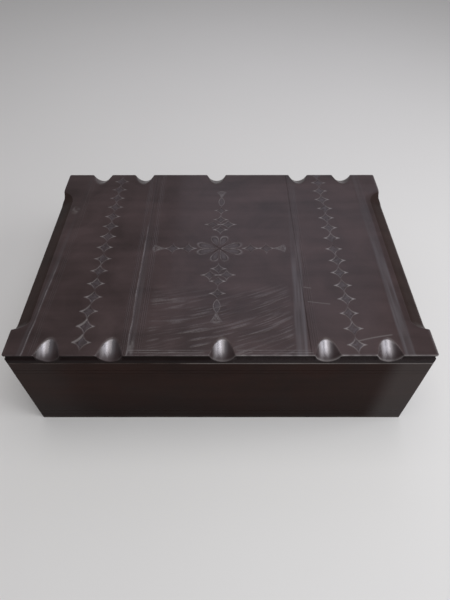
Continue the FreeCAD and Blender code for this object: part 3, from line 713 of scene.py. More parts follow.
@dataclass(frozen=True)
class RuledLines:
    """Fine parallel lines, ruled from front to back or along the front edge."""

    places: tuple[float, ...]
    along_x: bool = False
    limits: tuple[float, float] = (-1.0, 1.0)
    lean: float = 0.0
    line: float = 0.85 * MM
    depth: float = 0.4 * MM
    rub_and_highlight: float = 0.35
    run_in: float = 6 * MM
    sway: float = 0.35 * MM
    swaying: Hills = Hills(11, 110 * MM, MM / 0.9)
    weighing: Hills = Hills(12, 60 * MM, MM / 0.7)

    def strike(self, x: Array, y: Array, leather: Impression) -> None:
        """Each line leans, wanders by a fraction of a millimetre, and slowly changes its depth.

        Args:
            x, y: places on the lid.
            leather: what is worked.
        """
        across, along = (y, x) if self.along_x else (x, y)
        within = between(along, self.limits, self.run_in, self.run_in)
        for place in self.places:
            lane = np.full_like(along, place)
            weight = (0.6 + 0.4 * self.weighing.at(along, lane)) * within
            away = across - place - self.lean * along - self.sway * self.swaying.at(along, lane)
            leather.cut(self.depth * weight * groove(away, self.line))
            ridge = 0.55 * FULL_RIDGE * weight * groove(away - 2 * self.line, self.line)
            leather.raise_to(ridge, self.rub_and_highlight)


@dataclass(frozen=True)
class Stripe:
    """A band from front to back that a bone has rubbed flat and pale, its paleness partly a painted sheen,
    some with an uneven ridge beside it.
    """

    x: float
    half_width: float
    ridge_x: float | None = None
    lean: float = 0.0
    edge: float = 3 * MM
    sunk: float = 0.18 * MM
    ridge_height: float = 0.5 * MM
    ridge_line: float = 1.4 * MM
    ridge_limits: tuple[float, float] = (-1.0, 1.0)
    ridge_rise: float = 60 * MM
    ridge_fall: float = 90 * MM
    pale: float = 0.2

    def strike(self, x: Array, y: Array, leather: Impression) -> None:
        """The band is sunk between two S-curves; the ridge wanders and swells along the way.

        The band is palest in front and fades towards the back, in long streaks: rubbed wear and a painted
        sheen that is strongest in front.

        Args:
            x, y: places on the lid.
            leather: what is worked.
        """
        x = x - self.lean * y
        band = falling(np.abs(x - self.x), self.half_width - self.edge, self.half_width + self.edge)
        leather.cut(self.sunk * band)
        streaks = 0.6 + 0.4 * Hills(24, 4 * MM, 80 * MM).at(x, y)
        leather.apply_marks(burnished=band * streaks * self.pale * (1 - 0.75 * s_curve(y, -250 * MM, 200 * MM)))
        if self.ridge_x is None:
            return
        sway = 1.1 * MM * Hills(21, 50 * MM).along(y) + 0.5 * MM * Hills(22, 12 * MM).along(y)
        swell = 0.62 + 0.38 * Hills(23, 18 * MM).along(y)
        within = between(y, self.ridge_limits, self.ridge_rise, self.ridge_fall)
        ridge = groove(x - self.ridge_x - sway, self.ridge_line)
        leather.raise_to(self.ridge_height * swell * within * ridge, 0.8)


@dataclass(frozen=True)
class Wrinkles:
    """Creases in a stretch of leather that was pulled by hand: long thin hills that rise to the right."""

    near_y: float
    far_y: float
    half_width: float
    slope: float = 0.3
    bend: float = 1.0
    length: float = 42 * MM
    pitch: float = 5.5 * MM
    height: float = 0.42 * MM
    side_fade: float = 18 * MM

    def strike(self, x: Array, y: Array, leather: Impression) -> None:
        """The hills follow lines whose slope grows to the right: the rise is slope·x + bend·x²/2.

        They are narrow across those lines and long along them, in three sizes, and only the tops are kept.

        Args:
            x, y: places on the lid.
            leather: what is worked.
        """
        wander = 4 * MM * Hills(31, 100 * MM, 60 * MM).at(x, y)
        across = y - self.slope * x - self.bend * x**2 / 2 + wander
        large = s_curve(Hills(32, self.length, self.pitch).at(x, across), -0.3, 0.8)
        small = s_curve(Hills(33, 0.55 * self.length, 0.5 * self.pitch).at(x, across), -0.2, 0.8)
        lines = s_curve(Hills(35, 1.3 * self.length, 0.62 * self.pitch).at(x, across), 0.15, 0.75)
        creases = 0.6 * large + 0.3 * small + 0.5 * lines
        patches = 0.5 + 0.5 * s_curve(Hills(34, 60 * MM, 35 * MM).at(x, y), -0.7, 0.4)
        where = (falling(y, self.near_y, self.far_y) * patches
                 * falling(np.abs(x), self.half_width - self.side_fade, self.half_width))
        leather.raise_by(self.height * creases * where)
        # The tops of the creases are painted paler: a painted highlight, with some wear.
        leather.apply_marks(worn=(0.2 * s_curve(creases, 0.4, 1.0) + 0.22 * lines) * where)


@dataclass(frozen=True)
class Scuff:
    """A rubbed pale spot."""

    x: float
    y: float
    half_width: float
    half_height: float
    strength: float
    flecks: Hills = Hills(41, 6 * MM)

    def strike(self, x: Array, y: Array, leather: Impression) -> None:
        """Fades from its middle, broken up by small hills."""
        away = np.hypot((x - self.x) / self.half_width, (y - self.y) / self.half_height)
        leather.apply_marks(scuffed=self.strength * falling(away, 0.2, 1.0) * (0.5 + 0.5 * self.flecks.at(x, y)))


@dataclass(frozen=True)
class LidTooling:
    """All the figures of the lid, placed from its middle."""

    middle_x: float = -4.7 * MM
    middle_y: float = 1.6 * MM
    lean: float = 0.025
    left_chain_x: float = -324.5 * MM
    right_chain_x: float = 318 * MM
    chain_pitch: float = 46.4 * MM
    cluster: tuple[tuple[float, float, float], ...] = (
        mm(-22.5, 101, 21), mm(22.5, 101, 21), mm(0, 78, 19), mm(0, 123, 19))
    side_stars: tuple[float, ...] = mm(87, 131)

    def petals(self, outward: float, spread: float, distance: float, half_length: float) -> list[Figure]:
        """Two petals of the middle flower, spread to both sides of a direction."""
        return [Petal(self.middle_x, self.middle_y, outward + turn, distance, half_length, 8.5 * MM)
                for turn in (-spread, spread)]

    def cross_arm(self, side: int) -> list[Figure]:
        """The part of the cross in front of its middle or behind it.

        Args:
            side: -1 in front, 1 behind.

        Returns:
            Four stars in a cluster, two petals, a star, a lens and a fan.
        """
        def at(aside: float, away: float) -> tuple[float, float]:
            """A place on the arm, which leans a little."""
            return self.middle_x + aside + self.lean * side * away, self.middle_y + side * away
        stars = [Star(*at(aside, away), half_width, 18 * MM) for aside, away, half_width in self.cluster]
        outward = side * math.pi / 2
        last_star = Star(*at(0, 165 * MM), 18 * MM, 19 * MM)
        return [*stars, *self.petals(outward, 0.35, 30 * MM, 22 * MM), last_star, Lens(*at(0, 206 * MM)),
                Fan(*at(0, 228 * MM), outward)]

    def cross_side(self, side: int) -> list[Figure]:
        """The part of the cross to the left of its middle or to the right.

        Args:
            side: -1 on the left, 1 on the right.

        Returns:
            Two stars, two petals, a stroke across the middle and a fan.
        """
        outward = 0.0 if side > 0 else math.pi
        stars = [Star(self.middle_x + side * away, self.middle_y, 21 * MM, 20 * MM)
                 for away in self.side_stars]
        half_run, half_rise = side * 19 * MM, 17 * MM
        arm = Stroke((self.middle_x - half_run, self.middle_y - half_rise),
                     (self.middle_x + half_run, self.middle_y + half_rise), 1.2 * MM, 0.7 * MM)
        return [*stars, *self.petals(outward, 0.27, 35 * MM, 29 * MM), arm,
                Fan(self.middle_x + side * 154 * MM, self.middle_y, outward)]

    def bands(self) -> list[Figure]:
        """The four bands of lines and rubbed stripes that run from front to back.

        Returns:
            Their figures from left to right.
        """
        return [
            RuledLines(mm(-430, -425, -420), lean=0.03),
            Stripe(-441 * MM, 6 * MM, -437 * MM, lean=0.053, ridge_limits=(-1.0, -20 * MM)),
            RuledLines(mm(-230.5, -226, -221.5)),
            Stripe(-206 * MM, 8 * MM, -214.5 * MM, ridge_limits=(-1.0, 130 * MM)),
            Scuff(-206 * MM, -327 * MM, 9 * MM, 26 * MM, 0.7),
            RuledLines(mm(-194, -189, -184)),
            Stripe(207 * MM, 13 * MM, lean=0.054, pale=0.35),
            RuledLines(mm(218, 223, 228)),
            Stripe(434 * MM, 12 * MM, pale=0.38),
        ]

    def wear(self) -> list[Figure]:
        """Wrinkles, scratches and scuffs.

        Returns:
            Their figures. A scratch is given by its start, its end, half its width, its depth, its bow and
            how pale it is, all but the last in millimetres.
        """
        scratches = (
            (324, -309, 405, -292, 1, 0.25, 1.5, 0.6), (-345, -312, -326, -292, 1.3, 0.3, -2.5, 0.9),
            (-344, -265, -325, -246, 1.2, 0.3, -2.5, 0.8), (-345, -220, -326, -201, 1.1, 0.2, -2.5, 0.5),
            (215, -142, 232, -145, 0.8, 0.25, 0, 0.5), (220, -190, 273, -198, 0.8, 0.25, 0, 0.5))
        strokes = [Stroke(mm(x, y), mm(end_x, end_y), *mm(half_width, depth, bow), rub_and_highlight)
                   for x, y, end_x, end_y, half_width, depth, bow, rub_and_highlight in scratches]
        return [Wrinkles(-195 * MM, -120 * MM, 182 * MM), *strokes,
                Scuff(-443 * MM, 169 * MM, 17 * MM, 24 * MM, 0.5)]

    def figures(self) -> list[Figure]:
        """Everything that is worked into the lid.

        Returns:
            The figures in the order in which they are worked.
        """
        left = StarChain(self.left_chain_x, -313 * MM, self.chain_pitch, 15)
        right = StarChain(self.right_chain_x, -320 * MM, self.chain_pitch, 16, -7 * MM, strength=1.4)
        # The lines along the front edge are very pale: wear and a painted highlight along the arris.
        front_lines = [RuledLines(mm(-343, -336.5), True, limits, rub_and_highlight=1.4)
                       for limits in (mm(-216, -32), mm(34, 216))]
        cross = [figure for part in (self.cross_arm, self.cross_side)
                 for side in SIDES for figure in part(side)]
        return [left, right, *cross, *self.bands(), *front_lines, *self.wear()]


# The lid's shape

def round_wall(floor: Array, away: Array, radius: float, slope: float, top: float) -> Array:
    """Adds the rise of a circle to a sloping floor: (r - √(r² - d²)) over the slope's cosine.

    Args:
        floor: the floor's height.
        away: the distance d from the floor's middle.
        radius: the radius r of the circle.
        slope: the floor's slope.
        top: the height of the lid's flat top.

    Returns:
        The height, which is a radius above the top where d is r or more.
    """
    rise = radius - np.sqrt(np.maximum(radius**2 - away**2, 0))
    return np.where(away < radius, floor + rise * math.hypot(1, slope), top + radius)


@dataclass(frozen=True)
class EdgeScoop:
    """A gouge in the front or back edge: a tilted round channel that runs out of the edge."""

    x: float
    facing: int
    radius: float = 32 * MM
    depth: float = 24 * MM
    reach: float = 49 * MM
    roll: float = 17 * MM
    roll_drop: float = 3 * MM
    fillet: float = 2.2 * MM
    dull: float = 0.0
    # Where the painted highlight lies, with the polish: left of the middle, further left in gouges further
    # left, fading towards the edge, and weak behind.
    highlight_shift: float = 0.13
    highlight_lean: float = 0.01
    highlight_reach: float = 30 * MM
    highlight_behind: float = 0.1

    def polish(self, x: Array, y: Array, sizes: ChestSizes) -> Array:
        """How far the gouge is polished and painted with a highlight: most near its middle and away from the
        edge, less behind.

        It is one less an S-curve of the distance from a line left of the middle, which lies further left in
        gouges further left, times an S-curve of the distance from the edge.

        Args:
            x, y: places on the lid.
            sizes: the chest's planes.

        Returns:
            The share of polish and painted highlight, from 0 to 1.
        """
        line = self.x - self.highlight_shift * self.radius + self.highlight_lean * self.x
        across = 1 - 0.9 * s_curve(np.abs(x - line) / self.radius, 0.15, 0.65)
        inward = 0.22 + 0.78 * s_curve(sizes.half_depth - self.facing * y, 0, self.highlight_reach)
        return across * inward * (1 if self.facing < 0 else self.highlight_behind)

    def surface(self, x: Array, y: Array, sizes: ChestSizes) -> Array:
        """A sloping floor with a round wall on each side.

        Near the edge the floor rolls over: the square of the distance past the roll's start is taken off
        too, and the slope before it is a little gentler, so that the edge keeps its height.

        Args:
            x, y: places on the lid.
            sizes: the chest's planes.

        Returns:
            The gouge's height, which is above the lid's top where there is no gouge.
        """
        slope = self.depth / self.reach
        roll = self.roll_drop / self.roll**2
        gone = self.facing * y - sizes.half_depth + self.reach
        past = np.maximum(gone - self.reach + self.roll, 0)
        floor = sizes.lid_top - (slope - self.roll_drop / self.reach) * gone - roll * past**2
        return round_wall(floor, np.abs(x - self.x), self.radius, slope, sizes.lid_top)


@dataclass(frozen=True)
class EndScoop:
    """The long shallow hollow in one end of the lid: round in front, with a long run-out behind."""

    facing: int
    near_y: float = -245.5 * MM
    far_y: float = 205 * MM
    near_radius: float = 32 * MM
    run_out: float = 92 * MM
    clear: float = 10 * MM
    depth: float = 22 * MM
    reach: float = 40 * MM
    fillet: float = 8 * MM
    # Painted shade on the hollow, which also gives it the end hollows' finish.
    dull: float = 1.0

    def surface(self, x: Array, y: Array, sizes: ChestSizes) -> Array:
        """A sloping floor, with a round wall in front and an S-curve up to clear of the top behind.

        Args:
            x, y: places on the lid.
            sizes: the chest's planes.

        Returns:
            The hollow's height at each place, which is above the lid's top where there is no hollow.
        """
        slope = self.depth / self.reach
        drop = slope * (self.facing * x - sizes.half_width + self.reach)
        gone = s_curve(y, self.far_y, self.far_y + self.run_out)
        height = sizes.lid_top - drop * (1 - gone) + self.clear * gone
        past = np.clip(self.near_y - y, 0, self.near_radius)
        return round_wall(height, past, self.near_radius, slope, sizes.lid_top)

    def polish(self, x: Array, y: Array, sizes: ChestSizes) -> Array:
        """No hand rests in it, so it has no polish, and no highlight is painted in it."""
        return np.zeros_like(x)


@dataclass(frozen=True)
class LidShape:
    """The lid's top with its scoops, and the cove round its rim."""

    sizes: ChestSizes
    front_offsets: tuple[float, ...] = mm(-398, -254, 5, 247, 390)
    back_offsets: tuple[float, ...] = mm(-391, -253, -17, 250, 393)
    cove_radius: float = 10 * MM
    cove_sink: float = 4 * MM
    cove_drop: float = 11 * MM
    cove_end: tuple[float, float] = mm(26, 31.5)
    brink: float = 1.6 * MM
    brink_drop: tuple[float, float] = mm(0.3, 2)

    def edges(self) -> tuple[tuple[int, tuple[float, ...]], ...]:
        """The way that each of the two long edges faces, and the middles of its gouges."""
        return (-1, self.front_offsets), (1, self.back_offsets)

    def scoops(self) -> list[EdgeScoop | EndScoop]:
        """Five scoops in front, five behind and one in each end."""
        scoops = [EdgeScoop(x, facing) for facing, offsets in self.edges() for x in offsets]
        return [*scoops, EndScoop(-1), EndScoop(1)]

    def top(self, x: Array, y: Array) -> Array:
        """The height of the lid's top: the lowest of the flat top and the scoops, with a fillet between.

        Args:
            x, y: places on the lid.

        Returns:
            The heights.
        """
        height = np.full_like(x, self.sizes.lid_top)
        for scoop in self.scoops():
            height = soft_min(height, scoop.surface(x, y, self.sizes), scoop.fillet)
        return height

    def polish(self, x: Array, y: Array) -> tuple[Array, Array]:
        """How much polish with painted highlight, and how much painted shade, the scoops have.

        Args:
            x, y: places on the lid.

        Returns:
            The share of polish with painted highlight, and the share of painted shade, both from 0 to 1.
        """
        highlighted_and_polished, dull = np.zeros_like(x), np.zeros_like(x)
        for scoop in self.scoops():
            within = s_curve(self.sizes.lid_top - scoop.surface(x, y, self.sizes), *self.brink_drop)
            highlighted_and_polished = np.maximum(highlighted_and_polished, within * scoop.polish(x, y, self.sizes))
            dull = np.maximum(dull, within * scoop.dull)
        return highlighted_and_polished, dull

    def crease(self, x: Array, y: Array) -> Array:
        """1 along the brinks of the gouges, where hands have worn the leather and a highlight is painted, and
        0 away from them.
        """
        gouges = [scoop for scoop in self.scoops() if not scoop.dull]
        away = [np.abs(scoop.surface(x, y, self.sizes) - self.sizes.lid_top) for scoop in gouges]
        return groove(np.min(away, axis=0), self.brink)

    def cove_share(self, x: Array, out_y: Array) -> Array:
        """How much of the cove is there: it runs out before each gouge of the front and back edges.

        Args:
            x: outline places.
            out_y: outward direction there.

        Returns:
            The shares.
        """
        share = np.ones_like(x)
        for facing, offsets in self.edges():
            aside = np.min([np.abs(x - offset) for offset in offsets], axis=0)
            share = np.where(facing * out_y > 0.5, s_curve(aside, *self.cove_end), share)
        return share

    def rim_inset(self, height: Array) -> Array:
        """How far the cove sinks the rim: √(r² - h²) less the distance of the cove's axis from the face.

        Args:
            height: the heights.

        Returns:
            The inset at each height.
        """
        away = height - (self.sizes.lid_top - self.cove_drop)
        chord = np.sqrt(np.maximum(self.cove_radius**2 - away**2, 0))
        return np.maximum(chord - self.cove_radius + self.cove_sink, 0)

    def rim_edge(self, x: Array, y: Array, out_x: Array, out_y: Array) -> tuple[Array, Array]:
        """Where the top meets the rim: at the inset of that height, the top has that height.

        Args:
            x, y: outline places.
            out_x, out_y: outward directions there.

        Returns:
            The height and the inset of the edge at each place.
        """
        height, share = self.top(x, y), self.cove_share(x, out_y)
        for _ in range(EDGE_ROUNDS):
            inset = self.rim_inset(height) * share
            height = (height + self.top(x - out_x * inset, y - out_y * inset)) / 2
        return height, self.rim_inset(height) * share


class Ending(Enum):
    """Which end of the lid a strip of hide turns over, if any."""

    LEFT = -1
    NONE = 0
    RIGHT = 1


@dataclass(frozen=True)
class FineZone:
    """A stretch of X where a strip needs closer columns."""

    x: float
    half_width: float
    spacing: float


@dataclass
class LidStrip:
    """A strip of one of the lid's hides, from under the front edge over the top to under the back edge."""

    name: str
    node: str
    start: float
    end: float
    ending: Ending
    shape: LidShape
    seats: HingeSeats
    figures: Sequence[Figure]
    coarse: float = 3.2 * MM
    row: float = 1.3 * MM
    rim_row: float = 0.6 * MM
    face_levels: int = 20
    soft_reach: tuple[float, float] = mm(1.2, 3.2)
    soft_rounds: int = 5
    foot_slack: float = 0.6 * MM
    widening: float = 0.12
    row_zone: tuple[float, float] = mm(4, 11)
    shift_fade: float = 30 * MM
    lap_depth: float = 0.6 * MM
    lap_line: float = 0.7 * MM
    edge_zone: tuple[float, float] = mm(2, 6)
    settled: float = 0.4 * MM
    arris_line: float = 2.8 * MM
    # Where the painted sheen along the arris and the rim starts, to the right.
    sheen_from: tuple[float, float] = mm(-60, 60)
    lip_drop: tuple[float, float] = mm(11, 23)
    under_steps: tuple[float, ...] = mm(4, 8)

    FINE_ZONES = (
        *(FineZone(x * MM, 39 * MM, 1.9 * MM) for x in (-395, -254, -6, 248, 391)),
        *(FineZone(side * 500 * MM, 4 * MM, 0.7 * MM) for side in SIDES),
        *(FineZone(side * 475 * MM, 25 * MM, 2.2 * MM) for side in SIDES),
        FineZone(-438 * MM, 14 * MM, 0.85 * MM), FineZone(432 * MM, 17 * MM, 0.85 * MM),
        FineZone(-327 * MM, 23 * MM, 1.15 * MM), FineZone(319 * MM, 23 * MM, 1.15 * MM),
        FineZone(-207 * MM, 26 * MM, 0.85 * MM), FineZone(206 * MM, 24 * MM, 0.9 * MM),
        FineZone(-5 * MM, 180 * MM, 1.35 * MM),
    )

    def columns(self) -> Array:
        """The strip's columns, close where it is tooled or bent and wide elsewhere.

        Returns:
            Their places across the lid.
        """
        def spacing(x: Array) -> Array:
            """The finest of the zones, each of which widens away from its edge."""
            wanted = [zone.spacing + self.widening * np.maximum(np.abs(x - zone.x) - zone.half_width, 0)
                      for zone in self.FINE_ZONES]
            return np.minimum(np.min(wanted, axis=0), self.coarse)
        return spaced(self.start, self.end, spacing)

    def rows(self) -> Array:
        """The strip's rows, closer near the front and back edges.

        Returns:
            Their places from front to back.
        """
        half = self.shape.sizes.half_depth

        def spacing(y: Array) -> Array:
            """Widens within a centimetre of the edge."""
            return self.rim_row + (self.row - self.rim_row) * s_curve(half - np.abs(y), *self.row_zone)
        return spaced(-half, half, spacing)

    def rim_paths(self, index: Array) -> tuple[list[Array], list[Array]]:
        """The stretches of the top's border, counter-clockwise from above.

        Args:
            index: the numbers of the top's points.

        Returns:
            The stretches on the rim, and those where the hide is cut off.
        """
        front, back = index[0], index[-1, ::-1]
        left, right = index[::-1, 0], index[:, -1]
        if self.ending is Ending.LEFT:
            return [np.concatenate([back, left[1:], front[1:]])], [right]
        if self.ending is Ending.RIGHT:
            return [np.concatenate([front, right[1:], back[1:]])], [left]
        return [front, back], [right, left]

    def leather(self, x: Array, y: Array) -> Impression:
        """The state of the leather at places on the lid's top.

        Args:
            x, y: places on the lid.

        Returns:
            The leather after all figures, the laps' seams, the sway of the hide, the wear, painted glints and
            sheen of the rim, and the painted highlights and shade of the scoops.
        """
        leather = Impression.untouched(x.shape)
        for figure in self.figures:
            figure.strike(x, y, leather)
        sizes = self.shape.sizes
        for side in SIDES:
            leather.cut(self.lap_depth * groove(x - side * sizes.lap_x, self.lap_line))
        leather.raise_by(0.35 * MM * Hills(61, 190 * MM, 150 * MM).at(x, y)
                         + 0.12 * MM * Hills(62, 45 * MM, 50 * MM).at(x, y))
        drop = sizes.lid_top - self.shape.top(x, y)
        flat = falling(drop, *self.shape.brink_drop)
        clear = s_curve(sizes.half_depth - np.abs(y), *self.edge_zone) * s_curve(
            sizes.half_width - np.abs(x), *self.edge_zone)
        leather.depth, leather.ridge, leather.swell = (
            part * clear * flat for part in (leather.depth, leather.ridge, leather.swell - self.settled))
        leather.matted, leather.burnished, leather.worn = (
            part * flat for part in (leather.matted, leather.burnished, leather.worn))
        highlighted_and_polished, dull = self.shape.polish(x, y)
        # The arris is pale from wear and painted glints, with a painted sheen to the right.
        arris = groove(sizes.from_edge(x, y), self.arris_line) * self.wear_and_glints(x)
        brink = self.shape.crease(x, y) * (0.25 + 0.45 * highlighted_and_polished)
        patches = 0.5 + 0.5 * Hills(63, 19 * MM).at(x, y)
        lip = s_curve(drop, *self.lip_drop)
        # Pale brinks and arris from wear with painted glints and highlights; in the gouges a painted
        # highlight with their polish, dimmed at the lip; painted shade on the lips and in the end hollows.
        leather.apply_marks(worn=np.maximum(arris, brink) * patches,
                    scuffed=0.9 * arris * s_curve(x, *self.sheen_from), burnished=highlighted_and_polished * (1 - 0.5 * lip),
                    dulled=np.maximum(0.25 * dull, 0.3 * lip * (highlighted_and_polished > 0)))
        # Painted shade in the front gouges, away from their painted highlight.
        leather.apply_marks(dulled=0.45 * (1 - flat) * (highlighted_and_polished > 0) * falling(highlighted_and_polished, 0.1, 0.4) * (y < 0))
        return leather

    def wear_and_glints(self, x: Array) -> Array:
        """How pale the arris is, from wear and painted glints: more from the left third on to the right, in
        dashes.
        """
        dashes = 0.65 + 0.35 * Hills(64, 13 * MM).along(x)
        return dashes * (0.3 + 0.7 * s_curve(x, -125 * MM, -85 * MM))

    def ring(self, x: Array, y: Array, out_x: Array, out_y: Array) -> tuple[Array, Array, Array]:
        """The rim below its edge: down the face through the cove, and under the lid.

        Args:
            x, y: outline places.
            out_x, out_y: outward directions there.

        Returns:
            The x, y and height of each place at each level, without the edge itself.
        """
        sizes, shape = self.shape.sizes, self.shape
        outline = Outline(sizes.half_width, sizes.half_depth, sizes.corner_radius)
        edge_height, _ = shape.rim_edge(x, y, out_x, out_y)
        at_back = out_y > 0.9
        seated = self.seats.under_leaf(x, np.zeros_like(x)) & at_back
        foot = np.where(seated, self.seats.upper_level, sizes.lid_bottom)
        shares = np.arange(1, self.face_levels + 1) / self.face_levels
        face = edge_height[:, None] + (foot - edge_height)[:, None] * shares
        face_inset = shape.rim_inset(face) * shape.cove_share(x, out_y)[:, None]
        deepest = (*(self.seats.leaf_depth + step for step in self.under_steps), sizes.turned_under)
        under = np.append(self.seats.insets(), deepest)
        under_inset = np.broadcast_to(under, (len(x), len(under)))
        under_leaf = self.seats.under_leaf(x[:, None], under_inset) & at_back[:, None]
        below = np.where(under_leaf, self.seats.upper_level, sizes.lid_bottom)
        inset = np.concatenate([face_inset, under_inset], axis=1)
        ring_x = outline.drawn_in(x[:, None], out_x[:, None], sizes.half_width, inset)
        ring_y = outline.drawn_in(y[:, None], out_y[:, None], sizes.half_depth, inset)
        return ring_x, ring_y, np.concatenate([face, below], axis=1)

    def brought_in(self, x: Array, y: Array, inset: Array) -> tuple[Array, Array]:
        """The top's places once its border follows the cove in, a move that fades away from the border.

        Args:
            x, y: places on the lid.
            inset: how far in each place of the border moves.

        Returns:
            The moved x and y.
        """
        sizes = self.shape.sizes
        near_front = falling(sizes.half_depth + y, 0, self.shift_fade)
        near_back = falling(sizes.half_depth - y, 0, self.shift_fade)
        moved_y = y + inset[0] * near_front - inset[-1] * near_back
        if self.ending is Ending.NONE:
            return x, moved_y
        column = 0 if self.ending is Ending.LEFT else -1
        near_end = falling(sizes.half_width - np.abs(x), 0, self.shift_fade)
        return x - self.ending.value * inset[:, [column]] * near_end, moved_y

    def rim_marks(self, x: Array, drop: Array, foot: Array) -> dict[str, Array]:
        """How the rim looks: pale at the arris and the foot, from wear and painted glints, with a painted
        sheen at the right, and painted shade below the arris.

        Args:
            x: outline places.
            drop: how far each level lies below the arris.
            foot: how far it lies above the lid's underside.

        Returns:
            The values by the mark's name.
        """
        rim_sheen = 0.13 * s_curve(x, *self.sheen_from)[:, None]
        arris = self.wear_and_glints(x)[:, None] * groove(drop, 1.4 * MM)
        marks = {mark: np.zeros_like(drop) for mark in MARKS}
        # Painted sheen to the right; painted shade below the arris.
        return {**marks, "worn": arris + 0.15 * groove(foot, 1.5 * MM) + rim_sheen,
                "pressed": 0.75 * s_curve(drop, 1.5 * MM, 5 * MM)}

    def dress(self, piece: bpy.types.Object, index: Array, dull: Array,
              finishes: Sequence[bpy.types.Material]) -> None:
        """Gives the lid's top one finish, everything below its arris another, darker with painted shade, and
        the end hollows a third, also darker with painted shade.

        Args:
            piece: the strip.
            index: the numbers of the top's points.
            dull: how much painted shade each of them has.
            finishes: the three finishes in that order.
        """
        for material in finishes[:2 if self.ending is Ending.NONE else 3]:
            piece.data.materials.append(material)
        on_top = grid_quads(index)
        finish = np.ones(len(piece.data.polygons), np.int32)
        finish[:len(on_top)] = 2 * (dull.ravel()[on_top].mean(axis=1) > 0.5)
        piece.data.polygons.foreach_set("material_index", finish)

    def build(self, finishes: Sequence[bpy.types.Material]) -> bpy.types.Object:
        """Builds the strip's top, its rim and its cut edge as one closed sheet.

        Args:
            finishes: those of the lid's top, of everything below its arris, and of the hollows in its ends;
                the last two are darker with painted shade.

        Returns:
            The new piece.
        """
        sizes = self.shape.sizes
        outline = Outline(sizes.half_width, sizes.half_depth, sizes.corner_radius)
        border = outline.rounded(*np.meshgrid(self.columns(), self.rows()))
        x, y = border[:2]
        index = np.arange(x.size).reshape(x.shape)
        paths, cuts = self.rim_paths(index)
        flat = [values.ravel() for values in border]
        inset = np.zeros(x.size)
        for path in paths:
            inset[path] = self.shape.rim_edge(*(values[path] for values in flat))[1]
        moved_x, moved_y = self.brought_in(x, y, inset.reshape(x.shape))
        leather = self.leather(moved_x, moved_y)
        height = self.shape.top(moved_x, moved_y) + leather.height()
        points = [np.stack([moved_x, moved_y, height], axis=-1).reshape(-1, 3)]
        marks = {name: [values] for name, values in leather.marks().items()}
        nearness = [sizes.from_edge(x, y).ravel()]
        grids, edge_parts, made = [index], [], x.size
        for path, cut in zip(paths, cuts):
            ring = np.stack(self.ring(*(values[path] for values in flat)), axis=-1)
            levels = np.arange(ring.shape[0] * ring.shape[1]).reshape(ring.shape[:2]) + made
            grid = np.concatenate([path[:, None], levels], axis=1)
            points.append(ring.reshape(-1, 3))
            drop = np.abs(points[0][path, 2][:, None] - ring[..., 2])
            foot = np.abs(ring[..., 2] - sizes.lid_bottom)
            nearness.append(np.minimum(drop, foot + self.foot_slack).ravel())
            for name, values in self.rim_marks(flat[0][path], drop, foot).items():
                marks[name].append(values.ravel())
            made += levels.size
            grids.append(grid)
            edge_parts += [grid[0, :-1], grid[:-1, -1], grid[-1, :0:-1], cut[:-1]]
        skin = Skin(np.concatenate(points), grids, np.concatenate(edge_parts),
                    {name: np.concatenate(values) for name, values in marks.items()})
        amount = 0.5 * falling(np.concatenate(nearness), *self.soft_reach)
        held = np.concatenate([*cuts, *(grid[end] for end in (0, -1) for grid in grids[1:])])
        skin.points = soften(skin.points, skin.quads(), amount, held, self.soft_rounds)
        piece = skin.piece(self.name, sizes.thickness)
        self.dress(piece, index, self.shape.polish(moved_x, moved_y)[1], finishes)
        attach(piece, "lid")
        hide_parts(self.node)
        return piece


@dataclass
class LidHides:
    """The lid's three hides, each made of strips that meet on its flat stretches."""

    sizes: ChestSizes
    seats: HingeSeats
    finishes: "tuple[LeatherFinish, LeatherFinish, LeatherFinish]"
    outer_cut: float = 355 * MM
    centre_cut: float = 62 * MM

    def strips(self) -> list[LidStrip]:
        """The strips of the three hides.

        Returns:
            The strips from left to right.
        """
        width, lap = self.sizes.half_width, self.sizes.lap_x
        plan = (
            ("left_end", "left", -width, -self.outer_cut, Ending.LEFT),
            ("left_chain", "left", -self.outer_cut, -lap, Ending.NONE),
            ("centre_left", "centre", -lap, -self.centre_cut, Ending.NONE),
            ("centre_middle", "centre", -self.centre_cut, self.centre_cut, Ending.NONE),
            ("centre_right", "centre", self.centre_cut, lap, Ending.NONE),
            ("right_chain", "right", lap, self.outer_cut, Ending.NONE),
            ("right_end", "right", self.outer_cut, width, Ending.RIGHT),
        )
        shape, figures = LidShape(self.sizes), LidTooling().figures()
        return [LidStrip(f"lid_hide_{name}", f"lid_leather_{hide}", *rest, shape, self.seats, figures)
                for name, hide, *rest in plan]

    def build(self) -> None:
        """Builds and dresses the strips."""
        materials = [finish.material() for finish in self.finishes]
        for strip in self.strips():
            piece = strip.build(materials)
            log.info("%s: %d points", piece.name, len(piece.data.vertices))


# The body's leather

class Face(Enum):
    """A side of the chest, with its direction along it (counter-clockwise from above) and outwards."""

    FRONT = ((1, 0), (0, -1))
    RIGHT = ((0, 1), (1, 0))
    BACK = ((-1, 0), (0, 1))
    LEFT = ((0, -1), (-1, 0))


